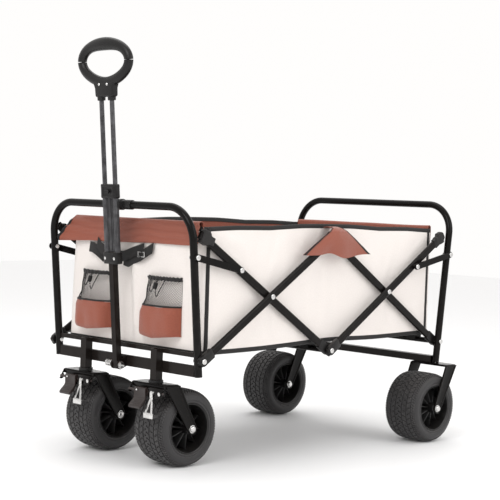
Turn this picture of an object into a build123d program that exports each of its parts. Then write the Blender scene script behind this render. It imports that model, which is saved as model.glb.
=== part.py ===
from build123d import *
import os
from math import atan2, cos, degrees, hypot, radians, sin, tan

# A folding beach cart: two leaning hoops joined by crossed folding arms, a fabric
# body, swivelling front casters with brakes, fixed rear wheels and a telescoping
# handle. X runs from the handle end (-X) to the back (+X), Y across, Z up from the
# ground. The origin is on the ground under the middle of the whole length.

# ---- Driving sizes (millimetres and degrees) ----

# wheels
wheel_diameter = 180.0
wheel_width = 103.0
tyre_shoulder = 20.0
rim_radius = 56.0
rim_width = 88.0
rim_wall = 3.5
rim_rib_count = 8
rim_rib_share = 0.6
hub_radius = 14.0
axle_diameter = 10.0
axle_head_diameter = 18.0
axle_head_height = 6.0

# forks and casters
fork_side_gap = 3.0
fork_sheet = 3.0
fork_plate_depth = 44.0
fork_plate_thickness = 4.0
fork_boss_radius = 15.0
front_wheel_headroom = 11.5
front_track = 254.0
front_trail = 64.0
rear_trail = 54.0
rear_wheel_inset = 6.0
bearing_height = 6.0
bearing_diameter = 34.0
kingpin_diameter = 12.0
kingpin_length = 40.0

# brakes
brake_reach = 30.0
brake_drop = 13.5
brake_shaft_diameter = 6.0
brake_angle = 8.0
brake_hub_wall = 4.0
brake_lug_wall = 5.0
shoe_centre = 28.0
shoe_width = 34.0
shoe_neck_width = 9.0
shoe_neck_drop = 14.0
shoe_drop = 53.0
shoe_height = 6.0
shoe_lean = 9.0
shoe_pad_depth = 17.0
pedal_low = -8.0
pedal_width = 38.0
pedal_wall = 2.0
pedal_lip_reach = 18.0
pedal_lip_drop = 39.0
pedal_lip_height = 7.0
pedal_knee_drop = 18.0

# tube frame
front_width = 500.0
tube_diameter = 18.0
tube_wall = 1.5
front_lean = 5.3
rear_lean = 6.3
front_hoop_rise = 340.5
rear_hoop_rise = 361.5
hoop_bend_radius = 75.0
post_size = 20.0
post_drop = 18.5
front_pivot_rise = 37.5
rear_pivot_rise = 56.5
cross_depth = 10.0
cross_height = 25.0
rear_cross_depth = 20.0
rear_cross_height = 18.0
floor_bar_height = 10.0

# folding arms and links
arm_half = 254.6
arm_rest_angle = 32.77
fold_angle = 45.0
arm_depth = 20.0
arm_thickness = 10.0
arm_end = 11.0
layer_gap = 1.0
link_rise = 230.5
link_arm_offset = 116.0
link_width = 16.0
link_thickness = 3.0
pin_diameter = 6.0
pin_head_diameter = 12.0
pin_head_height = 2.5
cross_tube_diameter = 14.0
saddle_length = 30.0
saddle_depth = 24.8
saddle_inset = 60.0
pivot_engagement = 25.0

# handle
handle_lean = 5.1
handle_pivot_ahead = 22.0
handle_pivot_above_foot = 4.0
handle_bolt_diameter = 8.0
lower_tube_size = 15.0
lower_tube_tail = 9.0
ear_thickness = 4.0
ear_radius = 11.0
ear_side_gap = 0.5
handle_bolt_head_radius = 6.4
handle_bolt_head_height = 5.0
clip_width = 30.0
clip_wall = 4.0
block_height = 27.0
block_bottom = 237.0
block_width = 50.0
block_depth = 20.0
rod_diameter = 11.0
rod_spacing = 37.0
housing_length = 126.5
housing_wall = 1.4
collar_height = 30.0
collar_width = 54.0
collar_depth = 19.0
button_width = 15.0
button_height = 9.0
button_travel = 3.0
button_proud = 2.5
button_depth = 5.0
handle_travel = 115.0
grip_height = 136.0
grip_width = 190.0
grip_tube = 23.0
grip_neck_width = 63.0
rods_out = 201.0
rod_insertion = 23.1
screw_radius = 2.5
screw_height = 2.0
screw_spacing = 28.0
screw_rise = 28.6

# fabric body
body_length = 828.0
body_height = 284.0
fabric_thickness = 6.0
floor_thickness = 3.0
mat_thickness = 12.0
cuff_height = 57.0
flap_width = 246.0
flap_height = 72.0
flap_thickness = 3.0
pocket_width = 135.0
pocket_depth = 30.0
pocket_wall = 2.0
pocket_spacing = 236.0
pocket_drop = 122.0
net_height = 64.0
box_height = 64.0

# clearances
running = 0.05
soft_clear = 0.3

# ---- Places worked out from the sizes ----

wheel_radius = wheel_diameter / 2
front_plate_top = wheel_diameter + front_wheel_headroom + fork_plate_thickness
post_bottom = front_plate_top + bearing_height
front_foot = post_bottom + post_drop
pivot_z = front_foot + front_pivot_rise
rear_foot = pivot_z - rear_pivot_rise
front_top = pivot_z + front_hoop_rise
rear_top = pivot_z + rear_hoop_rise
link_z = pivot_z + link_rise

half_span = 2 * arm_half * cos(radians(arm_rest_angle))
apex_rise = 2 * arm_half * sin(radians(arm_rest_angle))
grip_top_rise = block_bottom + block_height + housing_length + collar_height
grip_top_rise = grip_top_rise + rods_out + grip_height
front_reach = half_span + handle_pivot_ahead + grip_top_rise * sin(radians(handle_lean)) + grip_tube / 2
rear_reach = half_span + rear_hoop_rise * tan(radians(rear_lean)) + tube_diameter / 2
mid_x = (front_reach - rear_reach) / 2
front_x = mid_x - half_span
rear_x = mid_x + half_span
apex_z = pivot_z + apex_rise
cross_x_front = mid_x - half_span / 2
cross_x_rear = mid_x + half_span / 2
cross_z = pivot_z + apex_rise / 2

tube_radius = tube_diameter / 2
front_leg_y = front_width / 2
inner_arm_y = front_leg_y + tube_radius - arm_thickness / 2
outer_arm_y = inner_arm_y + arm_thickness + layer_gap
rear_leg_y = inner_arm_y + arm_thickness / 2 + layer_gap + tube_radius
front_link_y = inner_arm_y + arm_thickness / 2 + layer_gap + link_thickness / 2
rear_link_y = rear_leg_y + tube_radius + layer_gap + link_thickness / 2


def front_leg_x(z):
    """X of the front legs' centre line at a height."""
    return front_x - (z - pivot_z) * tan(radians(front_lean))


def rear_leg_x(z):
    """X of the rear legs' centre line at a height."""
    return rear_x + (z - pivot_z) * tan(radians(rear_lean))


front_cross_x = front_leg_x(front_foot + cross_height / 2)
post_x = front_cross_x - cross_depth / 2 - post_size / 2
floor_z = pivot_z + pin_head_diameter / 2 + soft_clear + floor_bar_height
post_y = front_track / 2
handle_x = front_x - handle_pivot_ahead
handle_z = front_foot + handle_pivot_above_foot
rear_plate_x = rear_leg_x(rear_foot)
rear_wheel_y = rear_leg_y - rear_wheel_inset
front_axle_x = post_x + front_trail
rear_axle_x = rear_plate_x - rear_trail
fork_half = wheel_width / 2 + fork_side_gap
body_side_y = front_leg_y - tube_radius - soft_clear
panel_x = mid_x - body_length / 2 - soft_clear
body_floor_z = floor_z + soft_clear
body_wall_z = body_floor_z + floor_thickness + soft_clear
link_x = mid_x - half_span / 2 - link_arm_offset * cos(radians(arm_rest_angle))
link_arm_z = cross_z + link_arm_offset * sin(radians(arm_rest_angle))


# ---- Small makers ----

def block(x, y, z, centre):
    """A box of three sizes about a centre."""
    return Pos(*centre) * Box(x, y, z)


def rod_y(radius, y_low, y_high, x, z):
    """A round bar along Y between two Y values."""
    centre = Pos(x, (y_low + y_high) / 2, z)
    return centre * Rot(90, 0, 0) * Cylinder(radius, y_high - y_low)


def plate_y(outline, y_low, y_high):
    """A flat plate from an (x, z) outline, between two Y values."""
    face = Plane.XZ * make_face(Polyline(*outline, close=True))
    return Pos(0, y_high, 0) * extrude(face, y_high - y_low)


def both_sides(shapes):
    """The shapes given and their mirror images across the middle plane."""
    return list(shapes) + [mirror(shape, about=Plane.XZ) for shape in shapes]


def pin(x, z, y_low, y_high):
    """A headed pin that clamps everything between two Y faces."""
    low = y_low - soft_clear
    high = y_high + soft_clear
    shaft = rod_y(pin_diameter / 2, low, high, x, z)
    inner = rod_y(pin_head_diameter / 2, low - pin_head_height, low, x, z)
    outer = rod_y(pin_head_diameter / 2, high, high + pin_head_height, x, z)
    return shaft + inner + outer


def pin_hole(x, z, y):
    """The cutter for a pin's running hole through a tube centred at Y."""
    reach = tube_diameter
    return rod_y(pin_diameter / 2 + running, y - reach, y + reach, x, z)


def write(name, *shapes):
    """Write one node, as one solid or a group of separate solids."""
    solids = [solid for shape in shapes for solid in shape.solids()]
    export_step(Compound(children=solids), os.path.join("parts", name + ".step"))


# ---- Frame ----

def hoop(x, lean, half_width, foot, top, holes):
    """A bent tube hoop that leans about the height of the folding pivots."""
    stand = Plane((x, 0, pivot_z), x_dir=(0, 1, 0), z_dir=(cos(lean), 0, sin(lean)))
    low = (foot - pivot_z) / cos(lean) + tube_radius * abs(tan(lean))
    high = (top - pivot_z) / cos(lean)
    corners = [(-half_width, low), (-half_width, high), (half_width, high), (half_width, low)]
    path = stand * FilletPolyline(*corners, radius=hoop_bend_radius)
    start = Plane(path @ 0, z_dir=path % 0)
    outside = sweep(start * Circle(tube_radius), path)
    inside = sweep(start * Circle(tube_radius - tube_wall), path)
    tube = outside - inside
    for hole in holes:
        tube = tube - hole
    return tube


def square_tube(x, y, z, wall, centre, along):
    """A rectangular tube, open at both ends of the axis it runs along."""
    inside = [x - 2 * wall, y - 2 * wall, z - 2 * wall]
    inside["xyz".index(along)] += 4 * wall
    return block(x, y, z, centre) - block(*inside, centre)


def front_frame():
    """The front hoop, its two cross bars, the caster posts and their rivets."""
    holes = []
    for side in (-1, 1):
        holes.append(pin_hole(front_x, pivot_z, side * front_leg_y))
        holes.append(pin_hole(front_leg_x(link_z), link_z, side * front_leg_y))
    lean = radians(front_lean)
    write("front_hoop", hoop(front_x, lean, front_leg_y, front_foot, front_top, holes))
    inside = 2 * (front_leg_y - tube_radius)
    centre = (front_cross_x, 0, front_foot + cross_height / 2)
    write("front_crossmember", square_tube(cross_depth, inside, cross_height, tube_wall, centre, "y"))
    post_height = floor_z - post_bottom
    posts = []
    for side in (-1, 1):
        centre = (post_x, side * post_y, post_bottom + post_height / 2)
        posts.append(square_tube(post_size, post_size, post_height, tube_wall, centre, "z"))
    write("caster_posts", *posts)
    centre = (front_cross_x, 0, floor_z - floor_bar_height / 2)
    write("front_floor_bar", square_tube(cross_depth, inside, floor_bar_height, tube_wall, centre, "y"))
    outer = outer_arm_y + arm_thickness / 2
    inner = front_leg_y - tube_radius
    pivots = pin(front_x, pivot_z, inner, outer)
    links = pin(front_leg_x(link_z), link_z, inner, front_link_y + link_thickness / 2)
    write("front_frame_rivets", *both_sides([pivots, links]))


def cross_tube(x):
    """A tube between the bottom pivots of both sides, with two floor saddles."""
    reach = inner_arm_y - arm_thickness / 2 - soft_clear
    tube = rod_y(cross_tube_diameter / 2, -reach, reach, x, pivot_z)
    top = floor_z - pivot_z
    for side in (-1, 1):
        y = side * (reach - saddle_inset)
        tube = tube + block(saddle_depth, saddle_length, top, (x, y, pivot_z + top / 2))
    return tube - rod_y(pin_diameter / 2 + running, -reach, reach, x, pivot_z)


def rear_frame():
    """The rear hoop, its two cross bars and their rivets."""
    holes = []
    for side in (-1, 1):
        holes.append(pin_hole(rear_x, pivot_z, side * rear_leg_y))
        holes.append(pin_hole(rear_leg_x(link_z), link_z, side * rear_leg_y))
    lean = radians(-rear_lean)
    write("rear_hoop", hoop(rear_x, lean, rear_leg_y, rear_foot, rear_top, holes))
    inside = 2 * (rear_leg_y - tube_radius)
    centre = (rear_plate_x, 0, rear_foot + rear_cross_height / 2)
    write(
        "rear_crossmember",
        square_tube(rear_cross_depth, inside, rear_cross_height, tube_wall, centre, "y"),
    )
    write("rear_floor_tube", cross_tube(rear_x))
    inner = inner_arm_y - arm_thickness / 2 - pivot_engagement
    outer = rear_leg_y + tube_radius + soft_clear
    pivots = rod_y(pin_diameter / 2, inner, outer, rear_x, pivot_z)
    pivots = pivots + rod_y(pin_head_diameter / 2, outer, outer + pin_head_height, rear_x, pivot_z)
    links = pin(
        rear_leg_x(link_z), link_z, rear_leg_y - tube_radius, rear_link_y + link_thickness / 2
    )
    write("rear_frame_rivets", *both_sides([pivots, links]))


# ---- Folding arms ----

def arm(start, end, y, pins):
    """A flat oval arm tube between two end pivots, drilled for its pins."""
    length = hypot(end[0] - start[0], end[1] - start[1])
    angle = degrees(atan2(end[1] - start[1], end[0] - start[0]))
    place = Pos((start[0] + end[0]) / 2, y, (start[1] + end[1]) / 2) * Rot(0, -angle, 0)
    section = Plane.YZ * RectangleRounded(arm_thickness, arm_depth, arm_thickness / 2 - running)
    core_size = (arm_thickness - 2 * tube_wall, arm_depth - 2 * tube_wall)
    core = Plane.YZ * RectangleRounded(*core_size, core_size[0] / 2 - running)
    half = length / 2 + arm_end
    tube = extrude(section, half, both=True) - extrude(core, half, both=True)
    tube = place * tube
    for x, z in pins:
        tube = tube - pin_hole(x, z, y)
    return tube


def arms():
    """The four crossed arms of each side, and the pins that they turn on."""
    front = (front_x, pivot_z)
    rear = (rear_x, pivot_z)
    front_top_end = (front_x, apex_z)
    rear_top_end = (rear_x, apex_z)
    apex = (mid_x, apex_z)
    centre = (mid_x, pivot_z)
    front_cross = (cross_x_front, cross_z)
    rear_cross = (cross_x_rear, cross_z)
    lines = {
        "front_lower_arms": (front, apex, outer_arm_y, [front, front_cross, apex]),
        "front_upper_arms": (front_top_end, centre, inner_arm_y, [front_cross, centre]),
        "rear_lower_arms": (apex, rear, inner_arm_y, [apex, rear_cross, rear]),
        "rear_upper_arms": (centre, rear_top_end, outer_arm_y, [centre, rear_cross]),
    }
    for name, (start, end, y, pins) in lines.items():
        write(name, *both_sides([arm(start, end, y, pins)]))
    inner = inner_arm_y - arm_thickness / 2
    outer = outer_arm_y + arm_thickness / 2
    write("front_cross_pins", *both_sides([pin(*front_cross, inner, outer)]))
    write("rear_cross_pins", *both_sides([pin(*rear_cross, inner, outer)]))
    write("apex_pins", *both_sides([pin(*apex, inner, outer)]))


def link(start, end, y):
    """A flat link with round ends and a running hole at its frame end."""
    length = hypot(end[0] - start[0], end[1] - start[1])
    angle = degrees(atan2(end[1] - start[1], end[0] - start[0]))
    place = Pos((start[0] + end[0]) / 2, y, (start[1] + end[1]) / 2) * Rot(0, -angle, 0)
    outline = Plane.XZ * SlotCenterToCenter(length, link_width)
    strap = place * extrude(outline, link_thickness / 2, both=True)
    return strap - pin_hole(*start, y)


def links():
    """The short links that steady the upper arms, each with its arm-end stud."""
    arm_face = inner_arm_y + arm_thickness / 2 + soft_clear
    front_start = (front_leg_x(link_z), link_z)
    front_end = (link_x, link_arm_z)
    front_link = link(front_start, front_end, front_link_y)
    front_stud = rod_y(pin_diameter, arm_face, front_link_y - link_thickness / 2, *front_end)
    face = front_link_y + link_thickness / 2
    front_head = rod_y(pin_head_diameter / 2, face, face + pin_head_height, *front_end)
    write("front_short_links", *both_sides([front_link + front_stud + front_head]))
    arm_face = outer_arm_y + arm_thickness / 2 + soft_clear
    rear_start = (rear_leg_x(link_z), link_z)
    rear_end = (2 * mid_x - link_x, link_arm_z)
    rear_link = link(rear_start, rear_end, rear_link_y)
    rear_stud = rod_y(pin_diameter, arm_face, rear_link_y - link_thickness / 2, *rear_end)
    face = rear_link_y + link_thickness / 2
    rear_head = rod_y(pin_head_diameter / 2, face, face + pin_head_height, *rear_end)
    write("rear_short_links", *both_sides([rear_link + rear_stud + rear_head]))


def centre_bar():
    """The bar across the bottom pivots: a headed rod inside its tube."""
    outer = outer_arm_y + arm_thickness / 2 + soft_clear
    rod = rod_y(pin_diameter / 2, -outer, outer, mid_x, pivot_z)
    for side in (-1, 1):
        ends = sorted((side * outer, side * (outer + pin_head_height)))
        rod = rod + rod_y(pin_head_diameter / 2, *ends, mid_x, pivot_z)
    write("centre_bar", rod)
    write("centre_tube", cross_tube(mid_x))


# ---- Wheels, forks and brakes ----

def fork(x, y, plate_top, trail, kingpin, brake):
    """A pressed fork: a top plate and two tapered legs down to the axle."""
    underside = plate_top - fork_plate_thickness
    outside = fork_half + fork_sheet
    half = fork_plate_depth / 2
    body = block(
        fork_plate_depth, 2 * outside, fork_plate_thickness, (x, y, plate_top - fork_plate_thickness / 2)
    )
    axle_x = x + trail
    boss = fork_boss_radius
    outline = [
        (x - half, plate_top - running),
        (x + half, plate_top - running),
        (axle_x + boss, wheel_radius),
        (axle_x - boss, wheel_radius),
    ]
    for low in (y - outside, y + fork_half):
        leg = plate_y(outline, low, low + fork_sheet)
        leg = leg + rod_y(boss, low, low + fork_sheet, axle_x, wheel_radius)
        if brake:
            shaft = (x - brake_reach, underside - brake_drop)
            lug = brake_shaft_diameter / 2 + brake_lug_wall
            arm_outline = [
                (x - half, underside),
                (x, underside),
                (shaft[0] + lug / 2, shaft[1] - lug),
                (shaft[0] - lug, shaft[1]),
            ]
            leg = leg + plate_y(arm_outline, low, low + fork_sheet)
            leg = leg + rod_y(lug, low, low + fork_sheet, *shaft)
            leg = leg - rod_y(brake_shaft_diameter / 2 + running, low, low + fork_sheet, *shaft)
        body = body + leg
    body = body - rod_y(axle_diameter / 2 + running, y - outside, y + outside, axle_x, wheel_radius)
    if kingpin:
        body = body + Pos(x, y, underside + kingpin_length / 2) * Cylinder(
            kingpin_diameter / 2, kingpin_length
        )
    return body


def axle(x, y):
    """An axle bolt with a head and a nut outside the fork."""
    outside = fork_half + fork_sheet + running
    bolt = rod_y(axle_diameter / 2, y - outside, y + outside, x, wheel_radius)
    for low in (y - outside - axle_head_height, y + outside):
        bolt = bolt + rod_y(axle_head_diameter / 2, low, low + axle_head_height, x, wheel_radius)
    return bolt


def tyre(x, y):
    """A wide tyre with rounded shoulders around the rim seat."""
    half = wheel_width / 2
    seat = rim_width / 2
    points = [
        (rim_radius + running, -seat),
        (rim_radius + tyre_shoulder / 2, -half),
        (wheel_radius - tyre_shoulder, -half),
        (wheel_radius, -half + tyre_shoulder),
        (wheel_radius, half - tyre_shoulder),
        (wheel_radius - tyre_shoulder, half),
        (rim_radius + tyre_shoulder / 2, half),
        (rim_radius + running, seat),
    ]
    edges = [
        Line(points[0], points[1]),
        Line(points[1], points[2]),
        RadiusArc(points[2], points[3], -tyre_shoulder),
        Line(points[3], points[4]),
        RadiusArc(points[4], points[5], -tyre_shoulder),
        Line(points[5], points[6]),
        Line(points[6], points[7]),
        Line(points[7], points[0]),
    ]
    ring = revolve(make_face(Wire(edges)), Axis.Y)
    return Pos(x, y, wheel_radius) * ring


def rim(x, y):
    """A deep-dished rim: barrel, middle web with ribs, and a bored hub."""
    seat = rim_width / 2
    barrel = rod_y(rim_radius, y - seat, y + seat, x, wheel_radius)
    barrel = barrel - rod_y(rim_radius - rim_wall, y - seat, y + seat, x, wheel_radius)
    web = rod_y(rim_radius - rim_wall / 2, y - rim_wall, y + rim_wall, x, wheel_radius)
    hub_half = fork_half - soft_clear
    hub = rod_y(hub_radius, y - hub_half, y + hub_half, x, wheel_radius)
    body = barrel + web + hub
    rib_depth = rim_rib_share * rim_width
    rib_length = rim_radius - rim_wall / 2
    for index in range(rim_rib_count):
        rib = Pos(rib_length / 2, 0, 0) * Box(rib_length, rib_depth, rim_wall)
        body = body + Pos(x, y, wheel_radius) * Rot(0, index * 360 / rim_rib_count, 0) * rib
    return body - rod_y(axle_diameter / 2 + running, y - fork_half, y + fork_half, x, wheel_radius)


def brake_shoe(y, shaft_x, shaft_z):
    """The brake's shaft with its A-shaped metal tongue and the pad that meets the tyre."""
    shaft_half = fork_half + fork_sheet
    hub = brake_shaft_diameter / 2 + brake_hub_wall
    shaft = rod_y(brake_shaft_diameter / 2, y - shaft_half, y + shaft_half, shaft_x, shaft_z)
    middle = y - shoe_centre
    low = middle - shoe_width / 2
    high = middle + shoe_width / 2
    neck = shoe_neck_width / 2
    pad_z = shaft_z - shoe_drop
    front_x = shaft_x - hub
    pad_x = front_x - shoe_lean
    spread = [
        (middle - neck, shaft_z),
        (middle + neck, shaft_z),
        (middle + neck, shaft_z - shoe_neck_drop),
        (high, pad_z),
        (low, pad_z),
        (middle - neck, shaft_z - shoe_neck_drop),
    ]
    slant = [
        (front_x, shaft_z),
        (front_x + fork_sheet, shaft_z),
        (pad_x + fork_sheet, pad_z),
        (pad_x, pad_z),
    ]
    face = make_face(Polyline(*spread, close=True))
    tongue = Pos(pad_x, 0, 0) * extrude(Plane.YZ * face, shoe_lean + hub)
    tongue = tongue & plate_y(slant, low, high)
    collar = rod_y(hub, low, high, shaft_x, shaft_z)
    pad_centre = (pad_x + shoe_pad_depth / 2, middle, pad_z)
    pad = block(shoe_pad_depth, shoe_width, shoe_height, pad_centre)
    return shaft + collar + tongue + pad


def brake_pedal(y, shaft_x, shaft_z):
    """The plastic pedal beside the shoe, with a lip that is pressed by the foot."""
    hub = brake_shaft_diameter / 2 + brake_hub_wall
    low = y + pedal_low
    high = low + pedal_width
    face_x = shaft_x - hub - pedal_wall
    lip_x = shaft_x - hub - pedal_lip_reach
    lip_z = shaft_z - pedal_lip_drop
    profile = [
        (shaft_x + hub, shaft_z + hub),
        (face_x, shaft_z + hub),
        (face_x, shaft_z - pedal_knee_drop),
        (lip_x, lip_z + pedal_lip_height),
        (lip_x + pedal_wall, lip_z),
        (face_x + pedal_wall, shaft_z - pedal_knee_drop - pedal_wall),
        (face_x + 2 * pedal_wall, shaft_z),
    ]
    pedal = plate_y(profile, low, high) + rod_y(hub, low, high, shaft_x, shaft_z)
    return pedal - rod_y(brake_shaft_diameter / 2 + running / 2, low, high, shaft_x, shaft_z)


def brake(name, x, y):
    """One caster's brake: a shaft with its metal shoe, and the plastic pedal."""
    shaft_x = x - brake_reach
    shaft_z = front_plate_top - fork_plate_thickness - brake_drop
    write("brake_shoe_" + name, brake_shoe(y, shaft_x, shaft_z))
    write("brake_pedal_" + name, brake_pedal(y, shaft_x, shaft_z))


def wheels():
    """All the wheels with their forks, axles, bearings and brakes."""
    bearings = []
    for name, side in (("right", -1), ("left", 1)):
        y = side * post_y
        write("caster_fork_" + name, fork(post_x, y, front_plate_top, front_trail, True, True))
        write("caster_axle_" + name, axle(front_axle_x, y))
        write("front_tyre_" + name, tyre(front_axle_x, y))
        write("front_rim_" + name, rim(front_axle_x, y))
        brake(name, post_x, y)
        ring_height = bearing_height - soft_clear
        ring = Cylinder(bearing_diameter / 2, ring_height) - Cylinder(
            kingpin_diameter / 2 + running, ring_height
        )
        bearings.append(Pos(post_x, y, post_bottom - ring_height / 2) * ring)
        y = side * rear_wheel_y
        write("rear_tyre_" + name, tyre(rear_axle_x, y))
        write("rear_rim_" + name, rim(rear_axle_x, y))
    write("caster_bearings", *bearings)
    forks = [
        fork(rear_plate_x, side * rear_wheel_y, rear_foot, -rear_trail, False, False)
        for side in (-1, 1)
    ]
    write("rear_forks", *forks)
    write("rear_axles", *[axle(rear_axle_x, side * rear_wheel_y) for side in (-1, 1)])


# ---- Handle ----

def in_handle(shape):
    """Place a shape drawn about the handle's pivot, upright, into its leaning seat."""
    return Pos(handle_x, 0, handle_z) * Rot(0, -handle_lean, 0) * shape


def handle_bracket():
    """The two-eared bracket on the front cross bar, and its pivot bolt."""
    face_x = front_cross_x - cross_depth / 2
    ear_gap = lower_tube_size / 2 + ear_side_gap
    base_height = cross_height
    half = ear_gap + ear_thickness
    low_z = front_foot
    base = block(
        fork_sheet, 2 * half, base_height, (face_x - fork_sheet / 2, 0, low_z + base_height / 2)
    )
    outline = [
        (face_x, low_z + base_height),
        (face_x, low_z),
        (handle_x, handle_z - ear_radius),
        (handle_x, handle_z + ear_radius),
    ]
    for low in (-half, ear_gap):
        ear = plate_y(outline, low, low + ear_thickness)
        ear = ear + rod_y(ear_radius, low, low + ear_thickness, handle_x, handle_z)
        base = base + ear
    base = base - rod_y(handle_bolt_diameter / 2 + running, -half, half, handle_x, handle_z)
    write("handle_bracket", base)
    reach = half + running
    bolt = rod_y(handle_bolt_diameter / 2, -reach, reach, handle_x, handle_z)
    head = handle_bolt_head_height
    for low in (-reach - head, reach):
        bolt = bolt + rod_y(handle_bolt_head_radius, low, low + head, handle_x, handle_z)
    write("handle_pivot_bolt", bolt)


def handle_clip():
    """The plastic clip on the hoop's top tube that holds the upright handle."""
    hoop_x = front_leg_x(front_top)
    wall = clip_wall
    centre_x = handle_x - (front_top - handle_z) * tan(radians(handle_lean))
    back_x = centre_x + rod_diameter / 2 + housing_wall + soft_clear
    jaw_inside = rod_spacing / 2 + rod_diameter / 2 + housing_wall + soft_clear
    jaw_reach = rod_diameter
    ring = rod_y(tube_radius + wall, -clip_width / 2, clip_width / 2, hoop_x, front_top)
    bridge_low = back_x + tan(radians(handle_lean)) * clip_width / 2
    bridge = block(
        hoop_x - bridge_low, 2 * (jaw_inside + wall), clip_width / 2,
        ((hoop_x + bridge_low) / 2, 0, front_top),
    )
    body = ring + bridge
    for side in (-1, 1):
        jaw = block(
            jaw_reach + wall, wall, clip_width / 2,
            (bridge_low + wall / 2 - jaw_reach / 2, side * (jaw_inside + wall / 2), front_top),
        )
        body = body + jaw
    reach = jaw_inside + wall
    return body - rod_y(tube_radius + running, -reach, reach, hoop_x, front_top)


def grip():
    """The D-shaped grip: a loop of soft section with a neck for the two rods."""
    half = grip_width / 2
    side_y = half - grip_tube / 2
    neck = grip_neck_width / 2
    shoulder = 0.2 * grip_height
    outer = [
        (neck + 1, shoulder),
        (0.62 * half, 0.38 * grip_height),
        (half, 0.66 * grip_height),
        (0.8 * half, 0.88 * grip_height),
    ]
    inner = [
        (0.33 * half, 0.415 * grip_height),
        (side_y - grip_tube / 2, 0.66 * grip_height),
        (0.56 * half, 0.835 * grip_height),
    ]
    left_outer = [(-y, z) for y, z in reversed(outer)]
    left_inner = [(-y, z) for y, z in reversed(inner)]
    arch = Spline(*outer, (0, grip_height), *left_outer)
    foot = Polyline(arch @ 1, (-neck, 0), (neck, 0), arch @ 0)
    hole = Spline(
        (0, 0.365 * grip_height), *inner, (0, 0.765 * grip_height), *left_inner, periodic=True
    )
    face = make_face([arch, foot]) - make_face(hole)
    loop = extrude(Plane.YZ * face, grip_tube / 2, both=True)
    return loop


def handle():
    """The folding, telescoping handle, from its lower tube to the grip."""
    block_top = block_bottom + block_height
    housing_top = block_top + housing_length
    collar_top = housing_top + collar_height
    grip_bottom = collar_top + rods_out
    tube_height = block_bottom + block_height / 2 + lower_tube_tail
    centre = (0, 0, tube_height / 2 - lower_tube_tail)
    lower = square_tube(lower_tube_size, lower_tube_size, tube_height, tube_wall, centre, "z")
    bolt_hole = rod_y(handle_bolt_diameter / 2 + running, -tube_height, tube_height, 0, 0)
    write("handle_lower_tube", in_handle(lower - bolt_hole))
    shell = block(block_depth, block_width, block_height, (0, 0, block_bottom + block_height / 2))
    socket_size = lower_tube_size + 2 * running
    socket = block(socket_size, socket_size, block_height, (0, 0, block_bottom + running))
    write("handle_block", in_handle(shell - socket))
    tube_outside = rod_diameter / 2 + housing_wall
    web = block(tube_outside, rod_spacing, housing_length, (0, 0, block_top + housing_length / 2))
    bores = []
    rods = []
    rod_low = block_top + handle_travel + soft_clear
    rod_length = grip_bottom + rod_insertion - rod_low
    for side in (-1, 1):
        y = side * rod_spacing / 2
        middle = Pos(0, y, block_top + housing_length / 2)
        web = web + middle * Cylinder(tube_outside, housing_length)
        bores.append(middle * Cylinder(rod_diameter / 2 + running, 2 * housing_length))
        rods.append(Pos(0, y, rod_low + rod_length / 2) * Cylinder(rod_diameter / 2, rod_length))
    housing = web
    collar = block(collar_depth, collar_width, collar_height, (0, 0, housing_top + collar_height / 2))
    neck = Pos(0, 0, grip_bottom) * grip()
    for bore in bores:
        housing = housing - bore
        collar = collar - bore
    for rod in rods:
        neck = neck - offset_bore(rod)
    write("handle_housing", in_handle(housing))
    button_z = housing_top + collar_height / 2
    seat_depth = button_travel + button_depth
    slot = Plane.YZ * SlotOverall(button_width + 4 * running, button_height + 4 * running)
    seat = Pos(-collar_depth / 2, 0, button_z) * extrude(slot, seat_depth)
    write("handle_collar", in_handle(collar - seat))
    face = Plane.YZ * SlotOverall(button_width, button_height)
    button = extrude(face, button_depth + button_proud - soft_clear)
    button = Pos(-collar_depth / 2 - button_proud, 0, button_z) * button
    write("lock_button", in_handle(button))
    write("handle_rods", *[in_handle(rod) for rod in rods])
    write("handle_grip", in_handle(neck))
    screws = []
    screw_x = -grip_tube / 2 - screw_height / 2
    for side in (-1, 1):
        centre = Pos(screw_x, side * screw_spacing / 2, grip_bottom + screw_rise)
        screws.append(in_handle(centre * Rot(0, 90, 0) * Cylinder(screw_radius, screw_height)))
    write("grip_screws", *screws)


def offset_bore(rod):
    """A rod grown by the running clearance, to cut its seat."""
    box = rod.bounding_box()
    length = box.max.Z - box.min.Z
    return Pos(0, box.center().Y, box.center().Z) * Cylinder(rod_diameter / 2 + running, length)


# ---- Fabric body ----

def body_panels():
    """The fabric body: floor, mat, two long sides and the two end panels."""
    length = body_length
    half = body_length / 2
    floor_half = half + cross_depth
    y = body_side_y
    thick = fabric_thickness
    floor = block(
        2 * floor_half, 2 * y, floor_thickness, (mid_x, 0, body_floor_z + floor_thickness / 2)
    )
    write("bag_floor", floor)
    wall_z = body_wall_z + body_height / 2
    wall = block(length - 2 * soft_clear, thick, body_height, (mid_x, y - thick / 2, wall_z))
    write("bag_sides", *both_sides([wall]))
    for name, side in (("front", -1), ("rear", 1)):
        centre = (mid_x + side * (half + thick / 2), 0, wall_z)
        write("bag_" + name + "_panel", block(thick, 2 * y, body_height, centre))
    inside = y - thick - soft_clear
    mat_z = body_wall_z + mat_thickness / 2
    mat_length = length - 4 * soft_clear
    write("floor_mat", block(mat_length, 2 * inside, mat_thickness, (mid_x, 0, mat_z)))


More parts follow.
